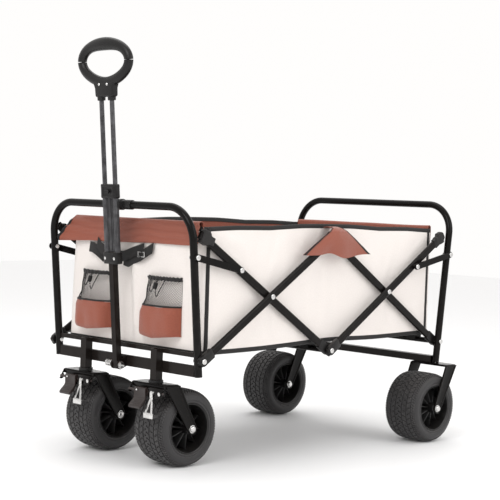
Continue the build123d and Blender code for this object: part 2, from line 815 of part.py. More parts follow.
def trim():
    """Cuffs over the end panels, the two front pockets and the side flaps."""
    half = body_length / 2
    thick = fabric_thickness
    top = body_wall_z + body_height
    cuff_z = top - cuff_height / 2
    front_face = mid_x - half - thick - soft_clear
    rear_face = mid_x + half + thick + soft_clear
    cuff_half = front_leg_y - tube_diameter
    write(
        "front_cuff", block(thick, 2 * cuff_half, cuff_height, (front_face - thick / 2, 0, cuff_z))
    )
    write(
        "rear_cuff", block(thick, 2 * cuff_half, cuff_height, (rear_face + thick / 2, 0, cuff_z))
    )
    pocket_top = top - pocket_drop
    inner_depth = pocket_depth - 2 * pocket_wall
    inner_width = pocket_width - 2 * pocket_wall
    nets = []
    boxes = []
    for side in (-1, 1):
        y = side * pocket_spacing / 2
        x = front_face - pocket_depth / 2
        net_place = (x, y, pocket_top - net_height / 2)
        net = block(pocket_depth, pocket_width, net_height, net_place)
        nets.append(net - block(inner_depth, inner_width, net_height, net_place))
        box_z = pocket_top - net_height - box_height / 2
        base = block(pocket_depth, pocket_width, box_height, (x, y, box_z))
        hollow_place = (x, y, box_z + pocket_wall)
        boxes.append(base - block(inner_depth, inner_width, box_height, hollow_place))
    write("pocket_nets", *nets)
    write("pocket_boxes", *boxes)
    flap_y = outer_arm_y + arm_thickness / 2 + soft_clear + pin_head_height + soft_clear
    flap_top = top
    outline = [
        (mid_x - flap_width / 2, flap_top - flap_height),
        (mid_x + flap_width / 2, flap_top - flap_height),
        (mid_x + flap_width / 16, flap_top),
        (mid_x - flap_width / 16, flap_top),
    ]
    flap = plate_y(outline, flap_y, flap_y + flap_thickness)
    roof_low = body_side_y + soft_clear
    roof_high = flap_y + flap_thickness
    flap = flap + block(
        flap_width / 8, roof_high - roof_low, flap_thickness,
        (mid_x, (roof_low + roof_high) / 2, flap_top - flap_thickness / 2),
    )
    write("apex_flaps", *both_sides([flap]))


def main_build():
    """Build every node of the cart."""
    os.makedirs("parts", exist_ok=True)
    front_frame()
    rear_frame()
    arms()
    links()
    centre_bar()
    wheels()
    handle_bracket()
    write("handle_clip", handle_clip())
    handle()
    body_panels()
    trim()


main_build()
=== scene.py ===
from math import atan2, cos, hypot, pi, radians, sin

import bmesh
import bpy
from mathutils import Matrix, Vector, noise


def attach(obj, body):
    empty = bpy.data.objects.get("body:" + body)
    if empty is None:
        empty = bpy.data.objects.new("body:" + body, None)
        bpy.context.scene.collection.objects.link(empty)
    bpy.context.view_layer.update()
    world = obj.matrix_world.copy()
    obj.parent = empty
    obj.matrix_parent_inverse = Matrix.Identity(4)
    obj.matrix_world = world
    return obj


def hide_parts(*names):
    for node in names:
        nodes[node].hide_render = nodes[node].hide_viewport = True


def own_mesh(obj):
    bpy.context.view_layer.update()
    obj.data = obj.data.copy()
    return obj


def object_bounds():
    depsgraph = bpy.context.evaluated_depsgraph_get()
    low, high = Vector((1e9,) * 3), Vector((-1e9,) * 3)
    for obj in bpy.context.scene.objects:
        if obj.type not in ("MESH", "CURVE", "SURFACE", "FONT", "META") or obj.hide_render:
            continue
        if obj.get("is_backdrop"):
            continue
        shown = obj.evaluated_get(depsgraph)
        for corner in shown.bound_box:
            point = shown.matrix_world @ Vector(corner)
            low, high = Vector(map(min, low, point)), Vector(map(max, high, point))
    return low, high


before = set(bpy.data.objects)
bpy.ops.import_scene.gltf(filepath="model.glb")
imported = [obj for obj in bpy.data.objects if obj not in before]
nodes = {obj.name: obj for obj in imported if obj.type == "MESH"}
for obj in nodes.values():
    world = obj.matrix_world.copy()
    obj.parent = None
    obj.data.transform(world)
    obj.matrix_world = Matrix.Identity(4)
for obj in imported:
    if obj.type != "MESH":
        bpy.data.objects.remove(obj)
cad_lo, cad_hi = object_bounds()
bpy.ops.object.select_all(action="DESELECT")
scene = bpy.context.scene

# ---- The stage ----
# A pale studio floor that fades into a white room, three large softboxes, and a long
# lens at chest height that looks at the cart's handle corner.

bpy.ops.object.camera_add()
camera = bpy.context.object
camera.name = "studio_camera"
camera.data.lens = 99.7
camera.data.clip_end = 50.0
camera_yaw = radians(45.515)
camera_pitch = radians(2.385)
camera_roll = radians(1.912)
camera_turn = Matrix.Rotation(-camera_yaw, 4, "Z") @ Matrix.Rotation(pi / 2 - camera_pitch, 4, "X")
camera_turn = camera_turn @ Matrix.Rotation(camera_roll, 4, "Z")
camera.matrix_world = Matrix.Translation((-2.5139, -2.4751, 0.6358)) @ camera_turn
scene.camera = camera
scene.view_settings.view_transform = "Standard"
scene.view_settings.look = "None"


def fill(tree, node, *values, **named):
    """Set a node's inputs, in order or by name; another node's output is linked."""
    for key, value in [*enumerate(values), *named.items()]:
        socket = node.inputs[key.replace("_", " ") if isinstance(key, str) else key]
        if isinstance(value, bpy.types.NodeSocket):
            tree.links.new(value, socket)
        else:
            socket.default_value = value


def shade(tree, kind, *values, operation=None, group=None, **named):
    """A shader node with its inputs filled. It gives back its outputs."""
    node = tree.nodes.new("ShaderNode" + kind)
    if operation:
        node.operation = operation
    if group:
        node.node_tree = group
    fill(tree, node, *values, **named)
    return node.outputs


def new_material(name, **values):
    """A material with a Principled shader whose plain sockets are set by name."""
    material = bpy.data.materials.new(name)
    material.use_nodes = True
    shader = material.node_tree.nodes["Principled BSDF"]
    fill(material.node_tree, shader, **values)
    return material, material.node_tree, shader


def give_finish(piece, material):
    """Make one material the only one of a piece."""
    piece.data.materials.clear()
    piece.data.materials.append(material)


room = bpy.data.worlds.new("white_room")
room.use_nodes = True
fill(room.node_tree, room.node_tree.nodes["Background"], Color=(1.0, 0.99, 0.98, 1), Strength=1.0)
scene.world = room

bpy.ops.mesh.primitive_plane_add(size=14.0)
floor = bpy.context.object
floor.name = "studio_floor"
floor_material, tree, shader = new_material("pale_floor", Roughness=0.65)
grain = shade(tree, "TexNoise", Scale=3.0)
tone = shade(tree, "MixRGB", grain["Fac"], (0.93, 0.93, 0.93, 1), (0.90, 0.90, 0.905, 1))
fill(tree, shader, Base_Color=tone["Color"])
floor.data.materials.append(floor_material)
floor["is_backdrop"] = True


def softbox(name, place, aim, size, power):
    """A square area light that faces a point."""
    bpy.ops.object.light_add(type="AREA", location=place)
    light = bpy.context.object
    light.name = name
    light.data.size = size
    light.data.energy = power
    light.rotation_euler = (Vector(aim) - Vector(place)).to_track_quat("-Z", "Y").to_euler()


softbox("key_softbox", (-2.6, -0.9, 2.4), (0, 0, 0.4), 1.6, 34)
softbox("side_softbox", (0.8, -3.2, 1.9), (0, 0, 0.35), 2.0, 26)
softbox("top_softbox", (0.4, 0.6, 3.0), (0, 0, 0.3), 2.4, 22)

# ---- Painted frame ----
# Round hoop tube, square bars and flat-oval arms, all powder coated in glossy black.
# The coat has a fine orange-peel skin and has rubbed thin along the bends and ends.


def new_group(name, inputs, outputs):
    """A shader node group with named float, colour or vector sockets."""
    group = bpy.data.node_groups.new(name, "ShaderNodeTree")
    for label, kind in outputs:
        group.interface.new_socket(name=label, in_out="OUTPUT", socket_type="NodeSocket" + kind)
    for label, kind in inputs:
        group.interface.new_socket(name=label, in_out="INPUT", socket_type="NodeSocket" + kind)
    return group, group.nodes.new("NodeGroupInput").outputs, group.nodes.new("NodeGroupOutput")


edge_wear, group_in, group_out = new_group(
    "edge_wear",
    [("Paint", "Color"), ("Worn", "Color"), ("Amount", "Float"), ("Smoothness", "Float")],
    [("Color", "Color"), ("Roughness", "Float")],
)
where = shade(edge_wear, "TexCoord")
patches = shade(edge_wear, "TexNoise", Vector=where["Object"], Scale=60.0, Detail=6.0)
sharpness = shade(edge_wear, "NewGeometry")
lift = shade(edge_wear, "Math", patches["Fac"], 0.22, sharpness["Pointiness"], operation="MULTIPLY_ADD")
worn_mask = shade(edge_wear, "MapRange", lift[0], From_Min=0.66, From_Max=0.76)
share = shade(edge_wear, "Math", worn_mask["Result"], group_in["Amount"], operation="MULTIPLY")
worn_colour = shade(edge_wear, "MixRGB", share[0], group_in["Paint"], group_in["Worn"])
cloudy = shade(edge_wear, "Math", patches["Fac"], 0.12, group_in["Smoothness"], operation="MULTIPLY_ADD")
fill(edge_wear, group_out, Color=worn_colour["Color"], Roughness=cloudy[0])

dust, group_in, group_out = new_group(
    "dust", [("Color", "Color"), ("Dust", "Color"), ("Amount", "Float")], [("Color", "Color")]
)
up = shade(dust, "SeparateXYZ", shade(dust, "NewGeometry")["Normal"])
where = shade(dust, "TexCoord")
specks = shade(dust, "TexNoise", Vector=where["Object"], Scale=90.0, Detail=8.0)
settled = shade(dust, "MapRange", up["Z"], From_Min=0.2)
drifted = shade(dust, "Math", settled["Result"], specks["Fac"], operation="MULTIPLY")
thin = shade(dust, "Math", drifted[0], group_in["Amount"], operation="MULTIPLY")
dusted = shade(dust, "MixRGB", thin[0], group_in["Color"], group_in["Dust"])
fill(dust, group_out, Color=dusted["Color"])


def coated(name, paint, worn, wear, smoothness, peel, peel_size, **values):
    """A coated or moulded finish: edge wear, settled dust and a fine raised skin."""
    material, tree, shader = new_material(name, **values)
    coat = shade(
        tree, "Group", group=edge_wear, Paint=paint, Worn=worn, Amount=wear, Smoothness=smoothness
    )
    dusty = shade(tree, "Group", group=dust, Color=coat["Color"], Dust=(0.16, 0.135, 0.12, 1), Amount=0.05)
    where = shade(tree, "TexCoord")
    skin = shade(tree, "TexNoise", Vector=where["Object"], Scale=peel_size, Detail=3.0)
    bump = shade(tree, "Bump", Strength=peel, Distance=0.0005, Height=skin["Fac"])
    fill(tree, shader, Base_Color=dusty["Color"], Roughness=coat["Roughness"], Normal=bump["Normal"])
    return material


frame_paint = coated(
    "glossy_black_paint", (0.0045, 0.0038, 0.0035, 1), (0.05, 0.043, 0.040, 1), 0.12, 0.10, 0.10, 900.0,
    Specular_IOR_Level=0.09, Coat_Weight=0.06, Coat_Roughness=0.08,
)
bar_paint = coated(
    "satin_bar_paint", (0.0085, 0.0062, 0.0054, 1), (0.06, 0.052, 0.048, 1), 0.12, 0.18, 0.14, 700.0,
    Specular_IOR_Level=0.09, Coat_Weight=0.05, Coat_Roughness=0.15,
)
for name in ("front_hoop", "rear_hoop", "front_lower_arms", "front_upper_arms", "rear_lower_arms",
             "rear_upper_arms", "front_short_links", "rear_short_links", "centre_tube", "rear_floor_tube"):
    give_finish(nodes[name], frame_paint)
for name in ("front_crossmember", "front_floor_bar", "caster_posts", "rear_crossmember"):
    give_finish(nodes[name], bar_paint)

# ---- Arm end pieces ----
# A moulded plastic boot closes each arm's end at the frame feet, the apex and the
# bottom middle pivot. It is a snug round-ended sleeve that the rivet goes through.

moulded_black = coated(
    "moulded_black_plastic", (0.0085, 0.0078, 0.0078, 1), (0.05, 0.05, 0.05, 1), 0.15, 0.26, 0.22, 1400.0,
    Specular_IOR_Level=0.25,
)
pivot_height = 0.2575
apex_height = 0.53311
front_foot_x = -0.4022
rear_foot_x = 0.45413
middle_x = 0.025964
inner_layer = 0.254
outer_layer = 0.265
boot_length = 0.034
boot_height = 0.0236
boot_width = 0.0107


def shift(x, y, z):
    """A matrix that moves a piece to a place."""
    return Matrix.Translation((x, y, z))


def rotation(degrees, axis):
    """A matrix that turns a piece about an axis."""
    return Matrix.Rotation(radians(degrees), 4, axis)


def select(*pieces):
    """Select these pieces alone, with the first one active."""
    bpy.ops.object.select_all(action="DESELECT")
    for piece in pieces:
        piece.select_set(True)
    bpy.context.view_layer.objects.active = pieces[0]


def edit(piece):
    """Select one piece alone and open it in edit mode."""
    select(piece)
    bpy.ops.object.mode_set(mode="EDIT")


def whole():
    """In edit mode, select everything."""
    bpy.ops.mesh.select_all(action="SELECT")


def inset(thickness, depth=0.0, **settings):
    """In edit mode, inset the selected faces and sink or raise them."""
    bpy.ops.mesh.inset(thickness=thickness, depth=depth, **settings)


def close_edit():
    """Leave edit mode with the normals pointing outwards."""
    whole()
    bpy.ops.mesh.normals_make_consistent(inside=False)
    bpy.ops.object.mode_set(mode="OBJECT")


def pick_faces(piece, wanted):
    """In edit mode, select just the faces whose middle and normal are wanted."""
    bpy.ops.mesh.select_mode(type="FACE")
    bpy.ops.mesh.select_all(action="DESELECT")
    mesh = bmesh.from_edit_mesh(piece.data)
    for face in mesh.faces:
        face.select_set(bool(wanted(face.calc_center_median(), face.normal)))
    bmesh.update_edit_mesh(piece.data)


def pick_points(piece, wanted):
    """In edit mode, select just the points that are wanted by their place."""
    bpy.ops.mesh.select_mode(type="VERT")
    bpy.ops.mesh.select_all(action="DESELECT")
    mesh = bmesh.from_edit_mesh(piece.data)
    for point in mesh.verts:
        point.select_set(bool(wanted(point.co)))
    mesh.select_flush(True)
    bmesh.update_edit_mesh(piece.data)


def pick_edges(piece, wanted):
    """In edit mode, select just the edges whose two ends are wanted."""
    bpy.ops.mesh.select_mode(type="EDGE")
    bpy.ops.mesh.select_all(action="DESELECT")
    mesh = bmesh.from_edit_mesh(piece.data)
    for edge in mesh.edges:
        edge.select_set(bool(wanted(edge.verts[0].co, edge.verts[1].co)))
    bmesh.update_edit_mesh(piece.data)


def apply_place(piece, place=None):
    """Put a piece's place into its mesh, after an optional matrix."""
    select(piece)
    bpy.ops.object.transform_apply(location=True, rotation=True, scale=True)
    if place is not None:
        piece.data.transform(place)


def apply_modifier(piece, kind, **settings):
    """Add a modifier with its settings and apply it."""
    select(piece)
    modifier = piece.modifiers.new(kind.lower(), kind)
    for name, value in settings.items():
        setattr(modifier, name, value)
    bpy.ops.object.modifier_apply(modifier=modifier.name)


def bevel(piece, width, segments, angle=30):
    """Round a piece's edges that are sharper than an angle in degrees."""
    apply_modifier(
        piece, "BEVEL", width=width, segments=segments, limit_method="ANGLE", angle_limit=radians(angle)
    )


def box(size, middle=(0, 0, 0)):
    """A box with its size and middle in its mesh."""
    bpy.ops.mesh.primitive_cube_add(size=1.0)
    piece = bpy.context.object
    piece.scale = size
    piece.location = middle
    apply_place(piece)
    return piece


def smooth(piece, angle=35.0):
    """Smooth shading with the sharp edges kept."""
    select(piece)
    bpy.ops.object.shade_smooth_by_angle(angle=radians(angle))


def copied(piece, place):
    """A copy with its own mesh, moved by a matrix."""
    twin = piece.copy()
    twin.data = piece.data.copy()
    scene.collection.objects.link(twin)
    twin.data.transform(place)
    if place.determinant() < 0:
        twin.data.flip_normals()
    return twin


def joined(name, parts, finish):
    """One named piece from several, in one finish."""
    select(*parts)
    if len(parts) > 1:
        bpy.ops.object.join()
    piece = bpy.context.object
    piece.name = name
    piece.data.name = name
    give_finish(piece, finish)
    return piece


mirror_y = Matrix.Scale(-1, 4, (0, 1, 0))


def mirrored(*pieces):
    """Turn pieces over to the other side of the cart."""
    for piece in pieces:
        piece.data.transform(mirror_y)
        piece.data.flip_normals()


def finished(name, parts, finish, body, slot, *replaced, place=None, angle=35.0, mend=False):
    """One piece from its parts: placed, smoothed and on its body. The slot argument is not used."""
    piece = joined(name, parts, finish)
    if place is not None:
        piece.data.transform(place)
    if mend:
        edit(piece)
        close_edit()
    smooth(piece, angle)
    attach(piece, body)
    if replaced:
        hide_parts(*replaced)
    return piece


def arm_boot(x, z, towards_x, towards_z, layer):
    """A sleeve round an arm's end, along the arm and round about its pivot."""
    bpy.ops.mesh.primitive_cylinder_add(vertices=32, radius=boot_height / 2, depth=boot_width)
    boot = bpy.context.object
    apply_place(boot, rotation(90, "X"))
    edit(boot)
    pick_points(boot, lambda place: place.x > 0.0005)
    bpy.ops.transform.translate(value=(boot_length, 0, 0))
    whole()
    bpy.ops.mesh.bisect(
        plane_co=(boot_length, 0, 0), plane_no=(1, 0, 0), use_fill=True, clear_outer=True
    )
    close_edit()
    bevel(boot, 0.0013, 2, 50)
    angle = atan2(towards_z - z, towards_x - x)
    boot.data.transform(shift(x, layer, z) @ Matrix.Rotation(-angle, 4, "Y"))
    smooth(boot)
    return boot


boot_lines = {
    "front_lower_arms": [
        (front_foot_x, pivot_height, middle_x, apex_height, outer_layer),
        (middle_x, apex_height, front_foot_x, pivot_height, outer_layer),
    ],
    "front_upper_arms": [(middle_x, pivot_height, front_foot_x, apex_height, inner_layer)],
    "rear_lower_arms": [
        (middle_x, apex_height, rear_foot_x, pivot_height, inner_layer),
        (rear_foot_x, pivot_height, middle_x, apex_height, inner_layer),
    ],
    "rear_upper_arms": [
        (middle_x, pivot_height, rear_foot_x, apex_height, outer_layer),
        (rear_foot_x, apex_height, middle_x, pivot_height, outer_layer),
    ],
}
for body, lines in boot_lines.items():
    boots = [arm_boot(*line) for line in lines]
    boots += [copied(boot, mirror_y) for boot in boots]
    boots = joined(body.replace("arms", "arm_boots"), boots, moulded_black)
    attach(boots, body)

# ---- Rivets and pivot bolts ----
# Bright zinc-plated steel. Each is a shank with a low domed head outside and a
# flattened, rolled-over tail inside the frame.

zinc, tree, shader = new_material("zinc_steel", Metallic=1.0)
zinc_wear = shade(
    tree, "Group", group=edge_wear, Paint=(0.62, 0.61, 0.60, 1), Worn=(0.86, 0.86, 0.85, 1), Amount=0.8,
    Smoothness=0.20,
)
fill(tree, shader, Base_Color=zinc_wear["Color"], Roughness=zinc_wear["Roughness"])

shank_radius = 0.003
head_radius = 0.0064
head_rise = 0.0033
tail_rise = 0.0016
link_height = 0.488
front_link_foot_x = -0.42358
rear_link_foot_x = 0.47957
front_link_stud_x = -0.28566
rear_link_stud_x = 0.33758
link_stud_height = 0.45809
arm_inside = 0.249
arm_outside = 0.270
boot_outside = outer_layer + boot_width / 2


def rivet(x, z, inner, outer):
    """A domed rivet across Y, from the inner face to the outer face."""
    parts = []
    for radius, rise, dome, middle in (
        (head_radius, head_rise, 0.0020, outer + head_rise / 2),
        (head_radius * 0.8, tail_rise, 0.0005, inner - tail_rise / 2),
        (shank_radius, outer - inner, 0.0002, (outer + inner) / 2),
    ):
        bpy.ops.mesh.primitive_cylinder_add(vertices=20, radius=radius, depth=rise)
        part = bpy.context.object
        apply_place(part, rotation(-90, "X"))
        bevel(part, dome, 3, 50)
        part.data.transform(shift(x, middle, z))
        parts.append(part)
    return parts


cross_height = (pivot_height + apex_height) / 2
rivet_sets = [
    ("frame_rivets_front", "front_frame", "front_frame_rivets", [
        (front_foot_x, pivot_height, 0.2407, boot_outside),
        (front_link_foot_x, link_height, 0.2407, 0.2631),
    ]),
    ("frame_rivets_rear", "rear_frame", "rear_frame_rivets", [
        (rear_foot_x, pivot_height, 0.225, 0.2781),
        (rear_link_foot_x, link_height, 0.2597, 0.2821),
    ]),
    ("cross_rivets_front", "front_lower_arms", "front_cross_pins", [
        ((front_foot_x + middle_x) / 2, cross_height, arm_inside, arm_outside),
    ]),
    ("cross_rivets_rear", "rear_upper_arms", "rear_cross_pins", [
        ((rear_foot_x + middle_x) / 2, cross_height, arm_inside, arm_outside),
    ]),
    ("apex_rivets", "apex", "apex_pins", [(middle_x, apex_height, arm_inside, boot_outside)]),
    ("middle_rivets", "centre", "centre_bar", [(middle_x, pivot_height, 0.225, boot_outside)]),
    ("link_studs_front", "front_links", None, [(front_link_stud_x, link_stud_height, 0.2615, 0.2630)]),
    ("link_studs_rear", "rear_links", None, [(rear_link_stud_x, link_stud_height, 0.2805, 0.2820)]),
]
for name, body, node, places in rivet_sets:
    parts = [part for place in places for part in rivet(*place)]
    parts += [copied(part, mirror_y) for part in parts]
    rivets = finished(name, parts, zinc, body, "zinc_steel")
    if node:
        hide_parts(node)

# ---- Tyres ----
# Wide solid beach tyres, moulded in dark grey rubber. Raised tread blocks stand in
# staggered rows between grooves, small lugs run round both shoulders, and the smooth
# side walls carry a raised bead next to the rim.

tyre_radius = 0.090
tyre_half_width = 0.0515
bead_radius = 0.0565
block_rise = 0.0022
tread_steps = 240
steps_in_block = 6
front_wheel_x = -0.350878
rear_wheel_x = 0.393887
front_wheel_y = 0.127
rear_wheel_y = 0.263
rib_edges = [0.0, 0.0045, 0.009, 0.0115, 0.0175, 0.0235, 0.026, 0.0315, 0.037, 0.0385]
shoulder_edges = [0.0425, 0.0462]
side_wall = [
    (0.0500, 0.0775), (0.0512, 0.0745), (0.0515, 0.0700), (0.0510, 0.0665), (0.0496, 0.0650),
    (0.0496, 0.0638), (0.0506, 0.0628), (0.0506, 0.0608), (0.0494, 0.0596), (0.0470, 0.0580),
    (0.0440, bead_radius),
]


def crown(across):
    """The tread's bed radius at a place across the tyre."""
    share = abs(across) / tyre_half_width
    return tyre_radius - block_rise - 0.0016 * share ** 2 - 0.0105 * share ** 7


rubber, tree, shader = new_material("dark_grey_rubber", Specular_IOR_Level=0.35, Sheen_Weight=0.08)
scuffed = shade(
    tree, "Group", group=edge_wear, Paint=(0.0285, 0.0270, 0.0278, 1), Worn=(0.090, 0.085, 0.084, 1),
    Amount=0.8, Smoothness=0.50,
)
dusty = shade(tree, "Group", group=dust, Color=scuffed["Color"], Dust=(0.20, 0.18, 0.165, 1), Amount=0.25)
pores = shade(tree, "TexNoise", Vector=shade(tree, "TexCoord")["Object"], Scale=1500.0)
bump = shade(tree, "Bump", Strength=0.35, Distance=0.0004, Height=pores["Fac"])
fill(tree, shader, Base_Color=dusty["Color"], Roughness=scuffed["Roughness"], Normal=bump["Normal"])


def turned(profile, steps):
    """A closed shape turned about Y from its (across, radius) outline."""
    bpy.ops.mesh.primitive_circle_add(vertices=len(profile), radius=0.01)
    shape = bpy.context.object
    for point, (across, radius) in zip(shape.data.vertices, profile):
        point.co = (0, across, radius)
    edit(shape)
    whole()
    bpy.ops.mesh.spin(steps=steps, angle=2 * pi, center=(0, 0, 0), axis=(0, 1, 0))
    whole()
    bpy.ops.mesh.remove_doubles(threshold=0.00002)
    close_edit()
    return shape


def ring(low, high, inner, outer, steps):
    """A plain ring about Y between two places along it."""
    return turned([(low, inner), (low, outer), (high, outer), (high, inner)], steps)


def is_block(middle, normal):
    """True where a tread block stands: staggered long blocks, short shoulder lugs."""
    across = abs(middle.y)
    step = int((atan2(middle.x, middle.z) + pi) / (2 * pi) * tread_steps)
    step += 3 if middle.y < 0 else 0
    if normal.y ** 2 > 0.9 or across > shoulder_edges[1]:
        return False
    for low, high, offset in (
        (0.0, 0.0045, 0), (0.0045, 0.009, 1), (0.0115, 0.0175, 4), (0.0175, 0.0235, 5),
        (0.026, 0.0315, 2), (0.0315, 0.037, 1),
    ):
        if low < across < high:
            return (step + offset) % steps_in_block != 0
    for low, high, offset in ((0.0385, 0.0425, 0), (0.0425, 0.0462, 1)):
        if low < across < high:
            return (step + offset) % (steps_in_block // 2) != 0
    return False


half_profile = [(y, crown(y)) for y in rib_edges + shoulder_edges] + side_wall
tyre = turned([(-y, r) for y, r in reversed(half_profile[1:])] + half_profile, tread_steps)
edit(tyre)
pick_faces(tyre, lambda middle, normal: middle.xz.length > 0.07 and is_block(middle, normal))
inset(0.0005, block_rise, use_individual=False)
close_edit()
tyre.data.materials.append(rubber)
smooth(tyre, 28.0)

wheel_places = {
    "front_left": (front_wheel_x, front_wheel_y), "front_right": (front_wheel_x, -front_wheel_y),
    "rear_left": (rear_wheel_x, rear_wheel_y), "rear_right": (rear_wheel_x, -rear_wheel_y),
}


def on_each_wheel(pattern, name):
    """A copy of a tyre or rim on each of the four wheels."""
    for corner, (x, y) in wheel_places.items():
        end, side = corner.split("_")
        one = copied(pattern, shift(x, y, tyre_radius))
        one.name = name + "_" + corner
        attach(one, end + "_wheel_" + side)
        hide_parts(end + "_" + name + "_" + side)
    bpy.data.objects.remove(pattern)


on_each_wheel(tyre, "tyre")

# ---- Rims ----
# Deep-dished black plastic rims: a barrel with a rolled lip, a thin middle web, a long
# hub that takes the axle, and ten straight ribs on each face.

rib_count = 10
rib_thickness = 0.0024
web_half = 0.0040
hub_outside = 0.0135
rim_plastic = coated(
    "rim_plastic", (0.0075, 0.0070, 0.0070, 1), (0.05, 0.05, 0.05, 1), 0.35, 0.24, 0.12, 1200.0,
)
lip_to_bore = [
    (0.0440, 0.0562), (0.0462, 0.0574), (0.0488, 0.0579), (0.0498, 0.0570), (0.0490, 0.0557),
    (0.0440, 0.0540), (0.0300, 0.0520), (0.0100, 0.0505), (web_half, 0.0490), (web_half, 0.0190),
    (0.0060, 0.0150), (0.0380, hub_outside), (0.0520, 0.0128), (0.0536, 0.0112), (0.0536, 0.0052),
]
rim_outline = lip_to_bore + [(-y, r) for y, r in reversed(lip_to_bore)]
rim = turned(rim_outline, 96)
parts = [rim]
for index in range(rib_count):
    for face in (-1, 1):
        rib = box((rib_thickness, 0.034, 0.0400), (0, 0.0200, 0.0325))
        edit(rib)
        pick_points(rib, lambda place: place.y > 0.02 and place.z > 0.03)
        bpy.ops.transform.translate(value=(0, -0.0090, 0))
        pick_edges(rib, lambda a, b: a.y > 0.02 and b.y > 0.02)
        bpy.ops.mesh.bevel(offset=0.0007, segments=2)
        close_edit()
        turn = 2 * pi * (index + 0.25 * face) / rib_count
        rib.data.transform(Matrix.Rotation(turn, 4, "Y"))
        if face < 0:
            mirrored(rib)
        parts.append(rib)
rim = joined("rim", parts, rim_plastic)
smooth(rim)
on_each_wheel(rim, "rim")

# ---- Axles ----
# Zinc-plated bolts through the forks and hubs, with a domed cap nut on a washer at
# each end.

fork_inside = 0.0545
fork_face = 0.0576
bore = 0.0002
cap_outline = [
    (0.0012, 0.0002), (0.0012, 0.0078), (0.0040, 0.0078), (0.0052, 0.0070), (0.0062, 0.0050),
    (0.0067, 0.0025), (0.0068, 0.0002),
]
parts = [ring(-fork_face, fork_face, bore, 0.0050, 24)]
washer = ring(fork_face, fork_face + 0.0012, 0.0051, 0.0092, 28)
cap = turned([(fork_face + y, r) for y, r in cap_outline], 28)
for end_piece in (washer, cap):
    parts += [end_piece, copied(end_piece, mirror_y)]
axle = joined("axle", parts, zinc)
smooth(axle)
for name, body, replaced, places in (
    ("axle_front_left", "caster_left", "caster_axle_left", [(front_wheel_x, front_wheel_y)]),
    ("axle_front_right", "caster_right", "caster_axle_right", [(front_wheel_x, -front_wheel_y)]),
    ("axles_rear", "rear_frame", "rear_axles",
     [(rear_wheel_x, rear_wheel_y), (rear_wheel_x, -rear_wheel_y)]),
):
    one = joined(name, [copied(axle, shift(x, y, tyre_radius)) for x, y in places], zinc)
    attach(one, body)
    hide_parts(replaced)
bpy.data.objects.remove(axle)

# ---- Pressed forks ----
# Each fork is pressed from sheet steel: a top plate with a turned-down front lip and
# two tapered legs whose edges are rolled outwards. They are painted with the frame.

caster_x = -0.414878
front_plate_top = 0.1955
rear_plate_x = 0.447887
rear_plate_top = 0.2010
sheet = 0.0030
plate_half = 0.0220
leg_end = 0.0135
edge_roll = 0.0022
brake_x = -0.0300
brake_z = 0.1780


def open_frame(plate, thickness, width, edge):
    """Turn a flat plate into a frame of bars round an opening."""
    edit(plate)
    whole()
    inset(width)
    bpy.ops.mesh.delete(type="FACE")
    close_edit()
    apply_modifier(plate, "SOLIDIFY", thickness=thickness, offset=0.0)
    bevel(plate, edge, 2)


def round_uprights(piece, offset, segments):
    """In edit mode, round the upright edges of a box."""
    pick_edges(piece, lambda a, b: abs(a.z - b.z) > 0.001)
    bpy.ops.mesh.bevel(offset=offset, segments=segments)


def flat_shape(points, low, high, bevel_width=0.0006):
    """A plate across Y from its (x, z) outline points, with softened edges."""
    bpy.ops.mesh.primitive_circle_add(vertices=len(points), radius=0.01, fill_type="NGON")
    shape = bpy.context.object
    for point, (x, z) in zip(shape.data.vertices, points):
        point.co = (x, low, z)
    edit(shape)
    whole()
    bpy.ops.mesh.extrude_region_move(TRANSFORM_OT_translate={"value": (0, high - low, 0)})
    close_edit()
    if bevel_width:
        bevel(shape, bevel_width, 2, 40)
    return shape


def leg_outline(trail, top):
    """The outline of a fork leg, straight at the top and round about the axle."""
    slope_back = atan2(tyre_radius - top, trail - plate_half)
    slope_front = atan2(tyre_radius - top, trail + plate_half)
    first = slope_back + pi / 2
    last = slope_front - pi / 2
    steps = 12
    turns = [first + (last - first) * index / steps for index in range(steps + 1)]
    round_end = [(trail + leg_end * cos(turn), tyre_radius + leg_end * sin(turn)) for turn in turns]
    return [(plate_half, top)] + round_end + [(-plate_half, top)]


def fork_leg(trail, top, side):
    """A leg plate with its edges rolled outwards and a boss about the axle."""
    leg = flat_shape(leg_outline(trail, top), fork_inside, fork_inside + sheet + edge_roll, 0)
    edit(leg)
    pick_faces(leg, lambda middle, normal: normal.y > 0.9)
    inset(0.0026)
    inset(0.0016, -edge_roll)
    close_edit()
    bevel(leg, 0.0009, 3, 35)
    boss = ring(fork_inside, fork_face, 0.0052, 0.0108, 24)
    boss.data.transform(shift(trail, 0, tyre_radius))
    parts = [leg, boss]
    if side < 0:
        mirrored(*parts)
    return parts


def fork(top, trail, with_brake):
    """A whole fork about its own kingpin line."""
    parts = []
    for side in (-1, 1):
        parts += fork_leg(trail, top - sheet / 2, side)
    plate = box((2 * plate_half, 2 * (fork_inside + sheet), sheet), (0, 0, top - sheet / 2))
    edit(plate)
    round_uprights(plate, 0.007, 5)
    close_edit()
    bevel(plate, 0.0008, 3, 40)
    parts.append(plate)
    lip_drop = 0.011 if with_brake else 0.005
    lip = box((sheet, 2 * fork_inside + sheet, lip_drop), (-plate_half + sheet / 2, 0, top - lip_drop / 2))
    bevel(lip, 0.0012, 3, 40)
    parts.append(lip)
    if with_brake:
        ear_radius = 0.0078
        for side in (-1, 1):
            arc = [pi + 0.9 + index * pi / 9 for index in range(10)]
            ear = [(brake_x + ear_radius * cos(a), brake_z + ear_radius * sin(a)) for a in arc]
            ear += [(0.0, top - sheet), (-plate_half, top - sheet / 2)]
            low = fork_inside if side > 0 else -fork_inside - sheet
            parts.append(flat_shape(ear, low, low + sheet))
    return parts


